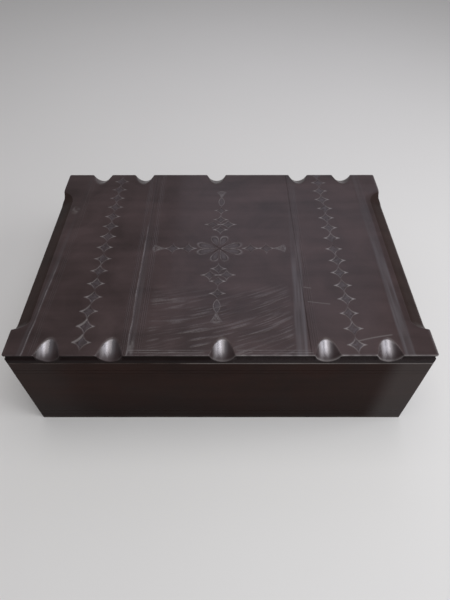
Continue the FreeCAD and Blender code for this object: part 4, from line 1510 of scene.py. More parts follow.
@dataclass
class BodyPanel:
    """The leather of one side: up the outside, over the rim and down the inside of the boards."""

    name: str
    face: Face
    sizes: ChestSizes
    seats: HingeSeats
    column: float = 2.25 * MM
    line_heights: tuple[float, ...] = mm(252, 240, 27)
    dash_height: float = 43 * MM
    dash_pitch: float = 18 * MM
    dash_share: float = 0.62
    dash_fade: float = 0.09
    dash_line: float = 1.3 * MM
    dash_depth: float = 0.65 * MM
    ruled_line: float = 0.95 * MM
    ruled_depth: float = 0.5 * MM
    wander: float = 0.4 * MM
    finest: float = 0.7 * MM
    widest: float = 7 * MM
    lining_steps: tuple[float, ...] = mm(0.6, 1.2)
    lining_levels: int = 12
    outside_inset: float = 0.01 * MM
    settled: float = 0.15 * MM
    soft_reach: tuple[float, float] = mm(1.2, 3.5)
    soft_rounds: int = 4

    def wrap(self) -> float:
        """How far the front and back leather run past the corner's arc."""
        return self.sizes.half_depth - self.sizes.corner_radius - self.sizes.wrap_y

    def lining(self) -> float:
        """How far inside the outline the leather hangs on the inside of the boards."""
        return self.sizes.half_depth - self.sizes.lining_y

    def profile(self) -> tuple[Array, Array]:
        """The levels from the leather's inner end over the rim to the floor.

        Returns:
            The inset and the height of each level.
        """
        sizes, lining = self.sizes, self.lining()

        def outside_spacing(height: Array) -> Array:
            """Close at the lines and the rim, wide between them."""
            fine = (*self.line_heights, self.dash_height)
            near = np.min([np.abs(height - line) for line in fine], axis=0)
            near = np.minimum(near - 2.5 * MM, sizes.body_top - height - 4 * MM)
            return np.clip(self.finest + 0.35 * np.maximum(near, 0), self.finest, self.widest)
        outside = spaced(0, sizes.body_top, outside_spacing)[::-1]
        rim = np.array([*(lining - step for step in self.lining_steps), *self.seats.insets()[::-1]])
        inside = np.append(np.linspace(sizes.turn_in_end, sizes.body_top - 1.5 * MM, self.lining_levels),
                           sizes.body_top)
        inset = np.concatenate([np.full(len(inside), lining), rim, np.zeros(len(outside))])
        height = np.concatenate([inside, np.full(len(rim), sizes.body_top), outside])
        spare = (len(height) - 1) % INNER_STEP
        return inset[spare:], height[spare:]

    def path(self) -> tuple[Array, Array, Array]:
        """Stations along the panel at the full outline.

        Returns:
            The station's place along the side, how far the wrap has gone round the corner, and the angle of
            the outward direction.
        """
        sizes = self.sizes
        if self.face in (Face.LEFT, Face.RIGHT):
            travel = spaced(-sizes.wrap_y, sizes.wrap_y, lambda place: np.full_like(place, self.column))
            return travel, np.zeros_like(travel), np.zeros_like(travel)
        straight = sizes.half_width - sizes.corner_radius
        quarter = sizes.corner_radius * math.pi / 2
        end = straight + quarter + self.wrap()
        edges = [centre + side * (self.seats.half_length + self.seats.clearance)
                 for centre in self.seats.centres for side in (-1, 1)]

        def spacing(travel: Array) -> Array:
            """Close on the corners, and at the ends of the hinges on the back."""
            near_corner = np.maximum(straight - np.abs(travel), 0)
            wanted = 1.1 * MM + 0.15 * near_corner
            if self.face is Face.BACK:
                near_hinge = np.min([np.abs(travel - edge) for edge in edges], axis=0)
                wanted = np.minimum(wanted, 0.3 * MM + 0.3 * near_hinge)
            return np.minimum(wanted, self.column)
        travel = spaced(-end, end, spacing)
        turn = np.sign(travel) * np.clip((np.abs(travel) - straight) / sizes.corner_radius, 0, math.pi / 2)
        gone = np.maximum(np.abs(travel) - straight - quarter, 0)
        return travel, gone, turn

    def leather(self, travel: Array, inset: Array, height: Array) -> Impression:
        """The state of the panel's leather: ruled lines below the rim, dashes and a line above the floor.

        Args:
            travel: places along the side.
            inset: how far in each level lies.
            height: how high it lies.

        Returns:
            The leather after the lines, the dashes, the wear and painted glints at the rim, a painted sheen
            at the front's ends, and painted shade towards the bottom.
        """
        leather = Impression.untouched(np.broadcast_shapes(travel.shape, height.shape))
        outside = (inset < self.outside_inset) * 1.0
        wander = self.wander * Hills(71, 130 * MM).along(travel)
        for line in self.line_heights:
            leather.cut(self.ruled_depth * outside * groove(height - line - wander, self.ruled_line))
        place = np.abs((travel / self.dash_pitch) % 1 - 0.5) * 2
        dashes = falling(place, self.dash_share - self.dash_fade, self.dash_share + self.dash_fade)
        dash_row = groove(height - self.dash_height - wander, self.dash_line)
        leather.cut(self.dash_depth * outside * dashes * dash_row)
        rub_and_highlight = s_curve(travel, -140 * MM, -30 * MM)
        wear_and_glints = 0.4 + 0.6 * rub_and_highlight if self.face is Face.FRONT else 0.6
        top = wear_and_glints * groove(height - self.sizes.body_top, 2.2 * MM) * (inset < 8 * MM)
        floor = groove(height, 5 * MM) * outside
        patches = 0.6 + 0.4 * Hills(72, 35 * MM, 20 * MM).at(travel, height)
        leather.worn = np.maximum(top, 0.6 * floor) * patches
        # Painted shade: the outside is darker towards the bottom.
        leather.apply_marks(dulled=0.75 * outside * falling(height, 10 * MM, 190 * MM))
        if self.face is Face.FRONT:
            # Painted sheen at both ends of the front, and wear with painted glints along its top.
            right, left = s_curve(travel, 385 * MM, 440 * MM), falling(travel, -440 * MM, -330 * MM)
            leather.apply_marks(scuffed=(0.26 * right + 0.07 * left) * outside + 0.9 * rub_and_highlight * top)
        return leather

    def bulge(self, travel: Array, inset: Array, height: Array) -> Array:
        """How far the leather stands off its board: slow hills, times the sine of the share of the height.

        Args:
            travel: places along the side.
            inset: how far in each level lies.
            height: how high it lies.

        Returns:
            The distances, which are 0 on the rim and inside.
        """
        hills = Hills(73 + len(self.name), 170 * MM, 110 * MM).at(travel, height)
        upward = np.sin(math.pi * np.clip(height / self.sizes.body_top, 0, 1))
        return 0.3 * MM * hills * upward * (inset < self.outside_inset)

    def laid_out(self, inset: Array, sunk: Array) -> tuple[Array, Array]:
        """Where the panel's points lie along its side and outwards.

        The front and back leather follow the corner's arc and wrap on to the end, and the end leather stops
        where that ends.

        Args:
            inset: how far in each level lies.
            sunk: how far each point is sunk into the leather.

        Returns:
            The places along the side and outwards.
        """
        sizes = self.sizes
        place, gone, turn = (values[:, None] for values in self.path())
        ends = self.face in (Face.LEFT, Face.RIGHT)
        half_along, half_out = sizes.half_width, sizes.half_depth
        if ends:
            half_along, half_out = half_out, half_along
        outline = Outline(half_along, half_out, sizes.corner_radius)
        radius = outline.corner_radius(inset)
        wrap = self.wrap() * np.maximum(1 - inset / self.lining(), 0.03)
        if ends:
            joint = sizes.half_depth - inset - radius - wrap
            return place * joint / sizes.wrap_y, half_out - inset - sunk + 0 * place
        limit = np.sign(place) * (half_along - inset - radius) + radius * np.sin(turn)
        along = np.where(np.abs(turn) > 0, limit, outline.drawn_in(place, 0 * place, half_along, inset))
        outward = half_out - inset - radius + (radius - sunk) * np.cos(turn) - wrap * gone / self.wrap()
        return along - sunk * np.sin(turn), outward

    def build(self) -> bpy.types.Object:
        """Builds the panel as one closed sheet and lays it on its side of the chest.

        Returns:
            The new piece.
        """
        sizes = self.sizes
        inset, height = (values[None, :] for values in self.profile())
        travel = self.path()[0][:, None]
        leather = self.leather(travel, inset, height)
        stands = np.maximum(self.bulge(travel, inset, height), -0.2 * MM)
        sunk = leather.depth - stands + self.settled * (inset < self.outside_inset)
        along, outward = self.laid_out(inset, sunk)
        (along_x, along_y), (out_x, out_y) = self.face.value
        x, y = along * along_x + outward * out_x, along * along_y + outward * out_y
        seated = self.seats.under_leaf(x, inset) & (self.face is Face.BACK)
        drop = sizes.body_top - self.seats.lower_level
        lowered = height - drop * s_curve(height, 0.9 * sizes.body_top, sizes.body_top)
        level = np.where(seated, np.minimum(height, lowered), height + 0 * travel)
        index = np.arange(level.size).reshape(level.shape)
        edge = np.concatenate([index[0, :-1], index[:-1, -1], index[-1, :0:-1], index[:0:-1, 0]])
        skin = Skin(np.stack([x, y, level], axis=-1).reshape(-1, 3), [index], edge, leather.marks())
        near_rim = np.abs(height - sizes.body_top) + np.minimum(inset, np.abs(self.lining() - inset))
        amount = 0.5 * falling(near_rim + 0 * travel, *self.soft_reach)
        amount[[0, -1]] = 0
        held = index[[0, -1]].ravel()
        skin.points = soften(skin.points, skin.quads(), amount.ravel(), held, self.soft_rounds)
        piece = skin.piece(self.name, sizes.thickness)
        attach(piece, "chest")
        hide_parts(f"{self.face.name.lower()}_leather")
        return piece


@dataclass
class BodyLeather:
    """The four panels of the body."""

    sizes: ChestSizes
    seats: HingeSeats
    finish: "LeatherFinish"

    def build(self) -> None:
        """Builds and dresses the panels."""
        material = self.finish.material()
        for face in Face:
            piece = BodyPanel(f"body_hide_{face.name.lower()}", face, self.sizes, self.seats).build()
            piece.data.materials.append(material)
            log.info("%s: %d points", piece.name, len(piece.data.vertices))


# Tacks

@dataclass
class Tacks:
    """Rows of domed tack heads that hold the leather inside the rim and under the lid."""

    sizes: ChestSizes
    finish: "MetalFinish"
    spacing: float = 62 * MM
    radius: float = 3.5 * MM
    dome: float = 1.2 * MM
    rim_height: float = 267 * MM
    lid_inset: float = 28.5 * MM
    segments: int = 12
    rises: tuple[float, ...] = (-0.35, 0.0, 0.45, 0.9, 1.3)

    def ring(self, x_limit: float, y_limit: float, inward: bool) -> tuple[Array, Array]:
        """Places and outward directions of the tacks round a rectangle.

        Args:
            x_limit: half the rectangle's width.
            y_limit: half its depth.
            inward: whether the heads look to the middle of the chest, or down.

        Returns:
            The places and the directions in which the heads look.
        """
        places, facing = [], []
        for half, other, axis in ((x_limit, y_limit, 0), (y_limit, x_limit, 1)):
            span = half - self.spacing / 2
            steps = max(1, round(2 * span / self.spacing))
            for along in np.linspace(-span, span, steps + 1):
                for side in (-1, 1):
                    places.append((along, side * other, 0) if axis == 0 else (side * other, along, 0))
                    outward = (0, -side, 0) if axis == 0 else (-side, 0, 0)
                    facing.append(outward if inward else (0, 0, -1))
        return np.array(places, float), np.array(facing, float)

    def heads(self, name: str, places: Array, facing: Array, body: str) -> bpy.types.Object:
        """Domed heads: rings of a flattened half ball, r·cos and h·sin of the rise, with a short skirt.

        Args:
            name: the CAD node that the heads stand for, and the start of the piece's name.
            places: where the heads sit on the leather.
            facing: the direction in which each looks.
            body: the CAD body that they ride on.

        Returns:
            The new piece.
        """
        rise = np.array(self.rises)
        ring_radius = np.where(rise < 0, 1.0, np.cos(rise)) * self.radius
        ring_height = np.where(rise < 0, rise, np.sin(rise)) * self.dome
        turn = np.arange(self.segments) * 2 * math.pi / self.segments
        side_axis = np.where(np.abs(facing[:, 2:]) > 0.5, [[1.0, 0, 0]], [[0, 0, 1.0]])
        other_axis = np.cross(facing, side_axis)
        round_part = (np.cos(turn)[:, None] * side_axis[:, None, None, :]
                      + np.sin(turn)[:, None] * other_axis[:, None, None, :])
        points = (places[:, None, None, :] + ring_radius[:, None, None] * round_part
                  + ring_height[:, None, None] * facing[:, None, None, :])
        count = len(rise) * self.segments
        ids = np.arange(len(places) * count).reshape(len(places), len(rise), self.segments)
        around = np.concatenate([ids, ids[:, :, :1]], axis=2)
        quads = np.stack([around[:, :-1, :-1], around[:, :-1, 1:], around[:, 1:, 1:], around[:, 1:, :-1]],
                         axis=-1).reshape(-1, 4)
        piece = piece_from(f"{name}_heads", points.reshape(-1, 3), [quads, ids[:, -1], ids[:, 0, ::-1]])
        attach(piece, body)
        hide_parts(name)
        return piece

    def build(self) -> None:
        """Sets the two rings of tacks."""
        sizes, material = self.sizes, self.finish.material()
        rims = (("rim_tacks", "chest", sizes.lining_x, sizes.lining_y, self.rim_height, True),
                ("lid_tacks", "lid", sizes.half_width - self.lid_inset, sizes.half_depth - self.lid_inset,
                 sizes.lid_bottom, False))
        for name, body, x_limit, y_limit, height, inward in rims:
            places, facing = self.ring(x_limit, y_limit, inward)
            places[:, 2] = height
            piece = self.heads(name, places, facing, body)
            piece.data.materials.append(material)
            log.info("%s: %d tacks", piece.name, len(places))


# Finishes

Given = object
Socket = bpy.types.NodeSocket
SURFACE = {"Color": "Color", "Roughness": "Float", "Height": "Float"}


class Recipe:
    """Short calls that add nodes to a material or a node group and join them.

    A value that a call is given is a number, a colour, a place or the socket that it comes from.
    """

    def __init__(self, tree: bpy.types.NodeTree) -> None:
        """Works on one tree."""
        self.tree = tree

    def node(self, kind: str, *values: Given, **settings: object) -> bpy.types.Node:
        """Adds a node.

        Args:
            kind: the node's type.
            values: what its first inputs are given, or None for nothing.
            settings: its properties.

        Returns:
            The new node.
        """
        node = self.tree.nodes.new(kind)
        for name, value in settings.items():
            setattr(node, name, value)
        for socket, value in zip(node.inputs, values):
            if value is not None:
                self.feed(socket, value)
        return node

    def feed(self, socket: Socket, value: Given) -> None:
        """Joins a socket to another, or sets its own value.

        Args:
            socket: the socket that is fed.
            value: the other socket, or the value.
        """
        if isinstance(value, bpy.types.NodeSocket):
            self.tree.links.new(value, socket)
        elif isinstance(value, tuple) and len(value) == 3 and socket.type == "RGBA":
            socket.default_value = (*value, 1)
        else:
            socket.default_value = value

    def feed_all(self, node: bpy.types.Node, values: dict[str, Given]) -> bpy.types.Node:
        """Feeds several of a node's inputs by name, and gives the node back."""
        for name, value in values.items():
            self.feed(node.inputs[name], value)
        return node

    def maths(self, operation: str, first: Given, second: Given = 0.0) -> Socket:
        """One sum on one or two numbers."""
        return self.node("ShaderNodeMath", first, second, operation=operation).outputs[0]

    def times(self, first: Given, second: Given) -> Socket:
        """The product of two numbers."""
        return self.maths("MULTIPLY", first, second)

    def plus(self, first: Given, *others: Given) -> Socket:
        """The sum of some numbers."""
        return reduce(lambda total, other: self.maths("ADD", total, other), others, first)

    def mixed(self, share: Given, first: Given, second: Given) -> Socket:
        """A colour between two others; the node's inputs from the second to the sixth are for other kinds."""
        node = self.node("ShaderNodeMix", share, *[None] * 5, first, second, data_type="RGBA")
        return node.outputs[2]

    def ramped(self, value: Given, low: float, high: float, to_low: float = 0.0, to_high: float = 1.0
               ) -> Socket:
        """A number moved from one range to another, and kept within it."""
        return self.node("ShaderNodeMapRange", value, low, high, to_low, to_high, clamp=True).outputs[0]

    def stretched(self, vector: Given, factors: Tone) -> Socket:
        """A place multiplied axis by axis."""
        return self.node("ShaderNodeVectorMath", vector, factors, operation="MULTIPLY").outputs[0]

    def clouds(self, vector: Given, scale: float, detail: float = 3.0, distortion: float = 0.0) -> Socket:
        """Noise from 0 to 1, with a number of clouds to the metre and of finer layers."""
        return self.feed_all(self.node("ShaderNodeTexNoise"), {
            "Vector": vector, "Scale": scale, "Detail": detail, "Distortion": distortion}).outputs[0]

    def pebbles(self, vector: Given, scale: float) -> Socket:
        """Distance to the nearest of scattered points, of which there is a number to the metre."""
        node = self.feed_all(self.node("ShaderNodeTexVoronoi"), {"Vector": vector, "Scale": scale})
        return node.outputs["Distance"]

    def place(self) -> Socket:
        """The place on the object."""
        return self.node("ShaderNodeTexCoord").outputs["Object"]

    def mark(self, name: str) -> Socket:
        """A value that the mesh holds at its points."""
        return self.node("ShaderNodeAttribute", attribute_name=name).outputs["Fac"]


def group_tree(name: str, inputs: dict[str, str], outputs: dict[str, str]
               ) -> tuple[Recipe, dict[str, Socket], bpy.types.Node]:
    """Starts a node group.

    Args:
        name: the group's name.
        inputs: names of its inputs and the kind of each socket.
        outputs: names of its outputs and the kind of each socket.

    Returns:
        A recipe for the group's tree, what it is given by name, and its output node.
    """
    tree = bpy.data.node_groups.new(name, "ShaderNodeTree")
    for direction, sockets in (("INPUT", inputs), ("OUTPUT", outputs)):
        for socket, kind in sockets.items():
            tree.interface.new_socket(socket, in_out=direction, socket_type=f"NodeSocket{kind}")
    recipe = Recipe(tree)
    given = recipe.node("NodeGroupInput").outputs
    return recipe, {socket: given[socket] for socket in inputs}, recipe.node("NodeGroupOutput")


@cache
def hide_group() -> bpy.types.NodeTree:
    """Leather: mottled dye, fine pores, dark tooled lines, matted fields, rubbed bands and worn brinks, with
    painted shade, painted highlights and painted sheen from the mesh's marks.

    Returns:
        The node group.
    """
    masks = {mark.title(): "Float" for mark in MARKS}
    recipe, given, out = group_tree(
        "tooled_hide",
        {"Deep": "Color", "Light": "Color", "Bare": "Color", "Shine": "Float", "Glaze": "Float", **masks},
        {**SURFACE, "Glaze": "Float", "Polish": "Float"})
    # A dark tone for cuts and painted shade; pale tones for stippling, for polish with painted highlight, and
    # for scuffs with painted sheen.
    darkening, matted, burnished, scuffed = (
        (0.004, 0.002, 0.002), (0.11, 0.1, 0.115), (0.215, 0.205, 0.22), (0.29, 0.27, 0.265))
    place = recipe.place()
    mottle = recipe.clouds(place, 9.0, 5.0, 0.6)
    streaks = recipe.clouds(recipe.stretched(place, (3.0, 26.0, 26.0)), 1.0, 4.0)
    fine = recipe.clouds(place, 240.0, 4.0)
    dye = recipe.plus(recipe.times(mottle, 0.6), recipe.times(streaks, 0.4))
    colour = recipe.mixed(recipe.ramped(dye, 0.34, 0.66), given["Deep"], given["Light"])
    colour = recipe.mixed(recipe.times(given["Pressed"], 0.8), colour, recipe.mixed(0.75, colour, darkening))
    # The pale tone stands for wear and for painted highlights and glints.
    wear_highlight_share = recipe.times(given["Worn"], recipe.ramped(fine, 0.35, 0.65, 0.35, 0.75))
    colour = recipe.mixed(wear_highlight_share, colour, given["Bare"])
    for mask, share, tone in (("Matted", 0.3, matted), ("Burnished", 0.85, burnished),
                              ("Scuffed", 0.5, scuffed)):
        colour = recipe.mixed(recipe.times(given[mask], share), colour, tone)
    changes = (("Matted", 0.08), ("Burnished", -0.08), ("Worn", -0.03))
    roughness = recipe.plus(given["Shine"], recipe.ramped(mottle, 0.3, 0.7, -0.04, 0.06),
                            *(recipe.times(given[mask], change) for mask, change in changes),
                            recipe.ramped(fine, 0.3, 0.7, -0.03, 0.03))
    pores = recipe.times(recipe.ramped(recipe.pebbles(place, 620.0), 0.0, 0.6), 0.028 * MM)
    grain = recipe.plus(pores, recipe.times(fine, 0.05 * MM),
                        recipe.times(recipe.clouds(place, 55.0, 2.0), 0.16 * MM))
    grain = recipe.times(grain, recipe.ramped(given["Burnished"], 0.0, 1.0, 1.0, 0.2))
    pits = recipe.times(recipe.ramped(recipe.pebbles(place, 430.0), 0.1, 0.5), 0.1 * MM)
    polish = recipe.times(given["Burnished"], recipe.ramped(fine, 0.3, 0.6, 0.2, 0.3))
    glaze = recipe.plus(polish, given["Glaze"], recipe.times(given["Worn"], 0.3))
    clear_of_cuts_and_shade = recipe.ramped(given["Pressed"], 0.1, 0.6, 1.0, 0.0)
    recipe.feed_all(out, {"Color": colour, "Roughness": roughness,
                          "Height": recipe.plus(grain, recipe.times(pits, given["Matted"])),
                          "Polish": recipe.times(given["Burnished"], 0.8),
                          "Glaze": recipe.times(glaze, clear_of_cuts_and_shade)})
    return recipe.tree


@cache
def wood_group() -> bpy.types.NodeTree:
    """Sawn softwood, its grain along the group's first axis: bands of early and late wood, and fine fibres.

    The bands are the sine of an even count across the grain plus a slow field that is long along it, so
    they run straight in places and close to arches in others. Each plank starts elsewhere in the field.

    Returns:
        The node group.
    """
    recipe, given, out = group_tree("sawn_softwood", {"Place": "Vector", "Start": "Float", "Width": "Float",
                                                      "Pale": "Color", "Dark": "Color"}, SURFACE)
    along, across, upward = recipe.node("ShaderNodeSeparateXYZ", given["Place"]).outputs
    past_start = recipe.maths("SUBTRACT", across, given["Start"])
    plank = recipe.maths("FLOOR", recipe.maths("DIVIDE", past_start, given["Width"]))
    place = recipe.node("ShaderNodeCombineXYZ", recipe.plus(along, recipe.times(plank, 1.7)), across,
                        recipe.plus(upward, recipe.times(plank, 0.6))).outputs[0]
    field = recipe.clouds(recipe.stretched(place, (1.1, 6.0, 6.0)), 1.0, 1.0)
    count = recipe.plus(recipe.times(recipe.plus(across, upward), 420.0), recipe.times(field, 190.0))
    late = recipe.ramped(recipe.maths("SINE", count), -0.2, 1.0)
    fibres = recipe.clouds(recipe.stretched(place, (22.0, 620.0, 620.0)), 1.0, 3.0)
    tone = recipe.clouds(recipe.stretched(place, (0.6, 9.0, 9.0)), 1.0, 2.0)
    colour = given["Pale"]
    for share in (recipe.ramped(tone, 0.35, 0.65, 0.0, 0.35), recipe.times(late, 0.55),
                  recipe.ramped(fibres, 0.45, 0.8, 0.0, 0.35)):
        colour = recipe.mixed(share, colour, given["Dark"])
    # Darker patches of dirt.
    darkening = recipe.ramped(recipe.clouds(place, 7.0, 4.0), 0.5, 0.8, 0.0, 0.35)
    recipe.feed_all(out, {"Color": recipe.mixed(darkening, colour, (0.12, 0.07, 0.035)),
                          "Roughness": recipe.ramped(fibres, 0.3, 0.7, 0.62, 0.78),
                          "Height": recipe.plus(recipe.times(fibres, 0.12 * MM),
                                                recipe.times(late, 0.08 * MM))})
    return recipe.tree


@cache
def metal_group() -> bpy.types.NodeTree:
    """Old metal: a clean tone, a tarnished one in clouds over it, and fine scratches.

    Returns:
        The node group.
    """
    recipe, given, out = group_tree(
        "handled_metal", {"Clean": "Color", "Tarnish": "Color", "Shine": "Float"}, SURFACE)
    place = recipe.place()
    clouds = recipe.clouds(place, 70.0, 5.0, 0.4)
    scratches = recipe.clouds(recipe.stretched(place, (900.0, 90.0, 400.0)), 1.0, 2.0)
    tarnished = recipe.ramped(clouds, 0.38, 0.68)
    rough = recipe.plus(given["Shine"], recipe.ramped(clouds, 0.35, 0.7, 0.0, 0.22),
                        recipe.ramped(scratches, 0.4, 0.7, -0.05, 0.05))
    recipe.feed_all(out, {"Color": recipe.mixed(tarnished, given["Clean"], given["Tarnish"]),
                          "Roughness": rough, "Height": recipe.times(scratches, 0.03 * MM)})
    return recipe.tree


def dressed(name: str, tree: bpy.types.NodeTree, inputs: dict[str, Given], sockets: dict[str, float],
            feeds: Callable[[Recipe], dict[str, Given]] | None = None) -> bpy.types.Material:
    """A material whose colour, roughness and bump come from a group.

    Args:
        name: the material's name.
        tree: the group.
        inputs: fixed values for the group's inputs.
        sockets: fixed values for the shader's own sockets.
        feeds: makes the changing values for the group's inputs.

    Returns:
        The new material.
    """
    material = bpy.data.materials.new(name)
    material.use_nodes = True
    recipe = Recipe(material.node_tree)
    shader = material.node_tree.nodes["Principled BSDF"]
    group = recipe.node("ShaderNodeGroup", node_tree=tree)
    recipe.feed_all(group, {**inputs, **(feeds(recipe) if feeds else {})})
    bump = recipe.node("ShaderNodeBump")
    recipe.feed_all(bump, {"Distance": 1.0, "Height": group.outputs["Height"]})
    recipe.feed_all(shader, {"Base Color": group.outputs["Color"], "Roughness": group.outputs["Roughness"],
                             "Normal": bump.outputs["Normal"], **sockets})
    for output, socket in (("Glaze", "Coat Weight"), ("Polish", "Metallic")):
        if output in group.outputs:
            recipe.feed(shader.inputs[socket], group.outputs[output])
    return material


@dataclass(frozen=True)
class LeatherFinish:
    """Glazed dark leather."""

    name: str
    deep: Tone
    light: Tone
    bare: Tone = (0.2, 0.18, 0.185)
    shine: float = 0.36
    glaze: float = 0.2
    glaze_roughness: float = 0.13
    specular: float = 0.3

    def material(self) -> bpy.types.Material:
        """The leather's material, which follows the marks of the mesh."""
        def marks(recipe: Recipe) -> dict[str, Given]:
            """The marks that the mesh holds."""
            return {mark.title(): recipe.mark(mark) for mark in MARKS}
        return dressed(self.name, hide_group(), {"Deep": self.deep, "Light": self.light, "Bare": self.bare,
                                                 "Shine": self.shine, "Glaze": self.glaze},
                       {"Coat Roughness": self.glaze_roughness, "Specular IOR Level": self.specular}, marks)


class Along(Enum):
    """The way that a board's grain runs, as the turn about each axis that brings it to the group's first."""

    X = (0.0, 0.0, 0.0)
    Y = (0.0, 0.0, -math.pi / 2)


@dataclass(frozen=True)
class WoodFinish:
    """Plain softwood, with its grain one way; its planks, if any, have a width and a first edge."""

    name: str
    pale: Tone
    dark: Tone
    along: Along
    start: float = -50.0
    width: float = 100.0
    specular: float = 0.3

    def material(self) -> bpy.types.Material:
        """The wood's material."""
        def turned(recipe: Recipe) -> dict[str, Given]:
            """The place, turned so that the grain lies along the board."""
            mapping = recipe.node("ShaderNodeMapping")
            recipe.feed_all(mapping, {"Vector": recipe.place(), "Rotation": self.along.value})
            return {"Place": mapping.outputs["Vector"]}
        return dressed(self.name, wood_group(),
                       {"Pale": self.pale, "Dark": self.dark, "Start": self.start, "Width": self.width},
                       {"Specular IOR Level": self.specular}, turned)


@dataclass(frozen=True)
class MetalFinish:
    """Brass, iron or steel that has been handled for years."""

    name: str
    clean: Tone
    tarnish: Tone
    shine: float

    def material(self) -> bpy.types.Material:
        """The metal's material."""
        return dressed(self.name, metal_group(),
                       {"Clean": self.clean, "Tarnish": self.tarnish, "Shine": self.shine}, {"Metallic": 1.0})


LID_LEATHER = LeatherFinish("lid_leather", (0.021, 0.011, 0.0105), (0.05, 0.03, 0.0305))
# Below the arris: a darker, less shiny copy of the lid's leather, whose darkness is painted shade.
RIM_LEATHER = LeatherFinish("rim_leather", (0.0175, 0.0115, 0.0115), (0.032, 0.0205, 0.02),
                            shine=0.5, glaze=0.0, specular=0.04)
# In the end hollows: a browner, less shiny copy of the lid's leather, darker in part with painted shade.
END_LEATHER = LeatherFinish("end_leather", (0.023, 0.0135, 0.0115), (0.042, 0.0262, 0.0235),
                            shine=0.46, glaze=0.0, specular=0.1)
BODY_LEATHER = LeatherFinish("body_leather", (0.0155, 0.0064, 0.0048), (0.029, 0.0128, 0.0098),
                             (0.3, 0.26, 0.23), shine=0.5, glaze=0.0, specular=0.05)
BRASS = MetalFinish("hinge_brass", (0.66, 0.47, 0.2), (0.3, 0.19, 0.08), 0.26)
STAY_BRASS = MetalFinish("stay_brass", (0.64, 0.46, 0.2), (0.33, 0.21, 0.09), 0.24)
TACK_BRASS = MetalFinish("tack_brass", (0.55, 0.38, 0.15), (0.22, 0.14, 0.06), 0.34)
IRON = MetalFinish("nail_iron", (0.2, 0.19, 0.18), (0.09, 0.06, 0.045), 0.42)
STEEL = MetalFinish("screw_steel", (0.55, 0.53, 0.5), (0.3, 0.25, 0.2), 0.28)


class CarriedNodes:
    """The CAD nodes that keep their own shape and get a finish."""

    def planks(self, names: tuple[str, ...], along: Along) -> dict[str, float]:
        """The first edge and the width of a row of planks, across their grain."""
        edges = [corner[1] if along is Along.X else -corner[0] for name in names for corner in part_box(name)]
        return {"start": float(min(edges)), "width": float((max(edges) - min(edges)) / len(names))}

    def woods(self) -> dict[WoodFinish, tuple[str, ...]]:
        """The boards.

        Returns:
            Their nodes, by finish.
        """
        bottom, lid = (tuple(f"{row}_plank_{number}" for number in range(1, 6))
                       for row in ("bottom", "lid"))
        pine_pale, pine_dark = (0.46, 0.30, 0.165), (0.27, 0.15, 0.07)
        return {
            WoodFinish("carcass_wood_lengthwise", pine_pale, pine_dark, Along.X):
                ("front_board", "back_board", "front_cleat", "back_cleat"),
            WoodFinish("carcass_wood_crosswise", pine_pale, pine_dark, Along.Y):
                ("left_end_board", "right_end_board", "left_cleat", "right_cleat"),
            WoodFinish("bottom_wood", (0.40, 0.26, 0.14), (0.24, 0.13, 0.06), Along.Y,
                       **self.planks(bottom, Along.Y)): bottom,
            WoodFinish("lid_wood_lengthwise", (0.49, 0.33, 0.19), (0.30, 0.17, 0.085), Along.X,
                       **self.planks(lid, Along.X)): ("lid_front_rail", "lid_back_rail", *lid),
            WoodFinish("lid_wood_crosswise", (0.47, 0.31, 0.175), (0.28, 0.16, 0.08), Along.Y):
                ("lid_left_rail", "lid_right_rail", "lid_left_batten", "lid_right_batten"),
        }

    def metals(self) -> dict[MetalFinish, tuple[str, ...]]:
        """The fittings.

        Returns:
            Their nodes, by finish.
        """
        leaves = tuple(f"{place}_hinge_{part}" for place in HINGE_PLACES
                       for part in ("lower_leaf", "upper_leaf", "pin"))
        stays = tuple(f"{side}_stay_{part}" for side in ("left", "right")
                      for part in ("bar", "bracket", "rivet", "stud"))
        return {BRASS: leaves, STAY_BRASS: stays, IRON: ("carcass_nails", "bottom_nails", "lid_nails"),
                STEEL: ("lower_hinge_screws", "upper_hinge_screws", "stay_bracket_screws")}

    def build(self) -> None:
        """Gives every carried node its material, on the object's own slots."""
        for finish, names in {**self.woods(), **self.metals()}.items():
            material = finish.material()
            for name in names:
                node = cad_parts[name]
                if not node.material_slots:
                    node.data.materials.append(None)
                for slot in node.material_slots:
                    slot.link = "OBJECT"
                    slot.material = material
            log.info("%s: %d nodes", finish.name, len(names))


# Floor, light and camera

@dataclass(frozen=True)
class Softbox:
    """A rectangular soft light that looks at a point; its power is in watts."""

    name: str
    place: Tone
    aim: Tone
    width: float
    height: float
    power: float
    tone: Tone

    def build(self) -> None:
        """Hangs the light."""
        data = bpy.data.lights.new(self.name, "AREA")
        data.shape, data.size, data.size_y = "RECTANGLE", self.width, self.height
        data.energy, data.color = self.power, self.tone
        lamp = bpy.data.objects.new(self.name, data)
        lamp.location = self.place
        lamp.rotation_euler = (Vector(self.aim) - Vector(self.place)).to_track_quat("-Z", "Y").to_euler()
        bpy.context.scene.collection.objects.link(lamp)


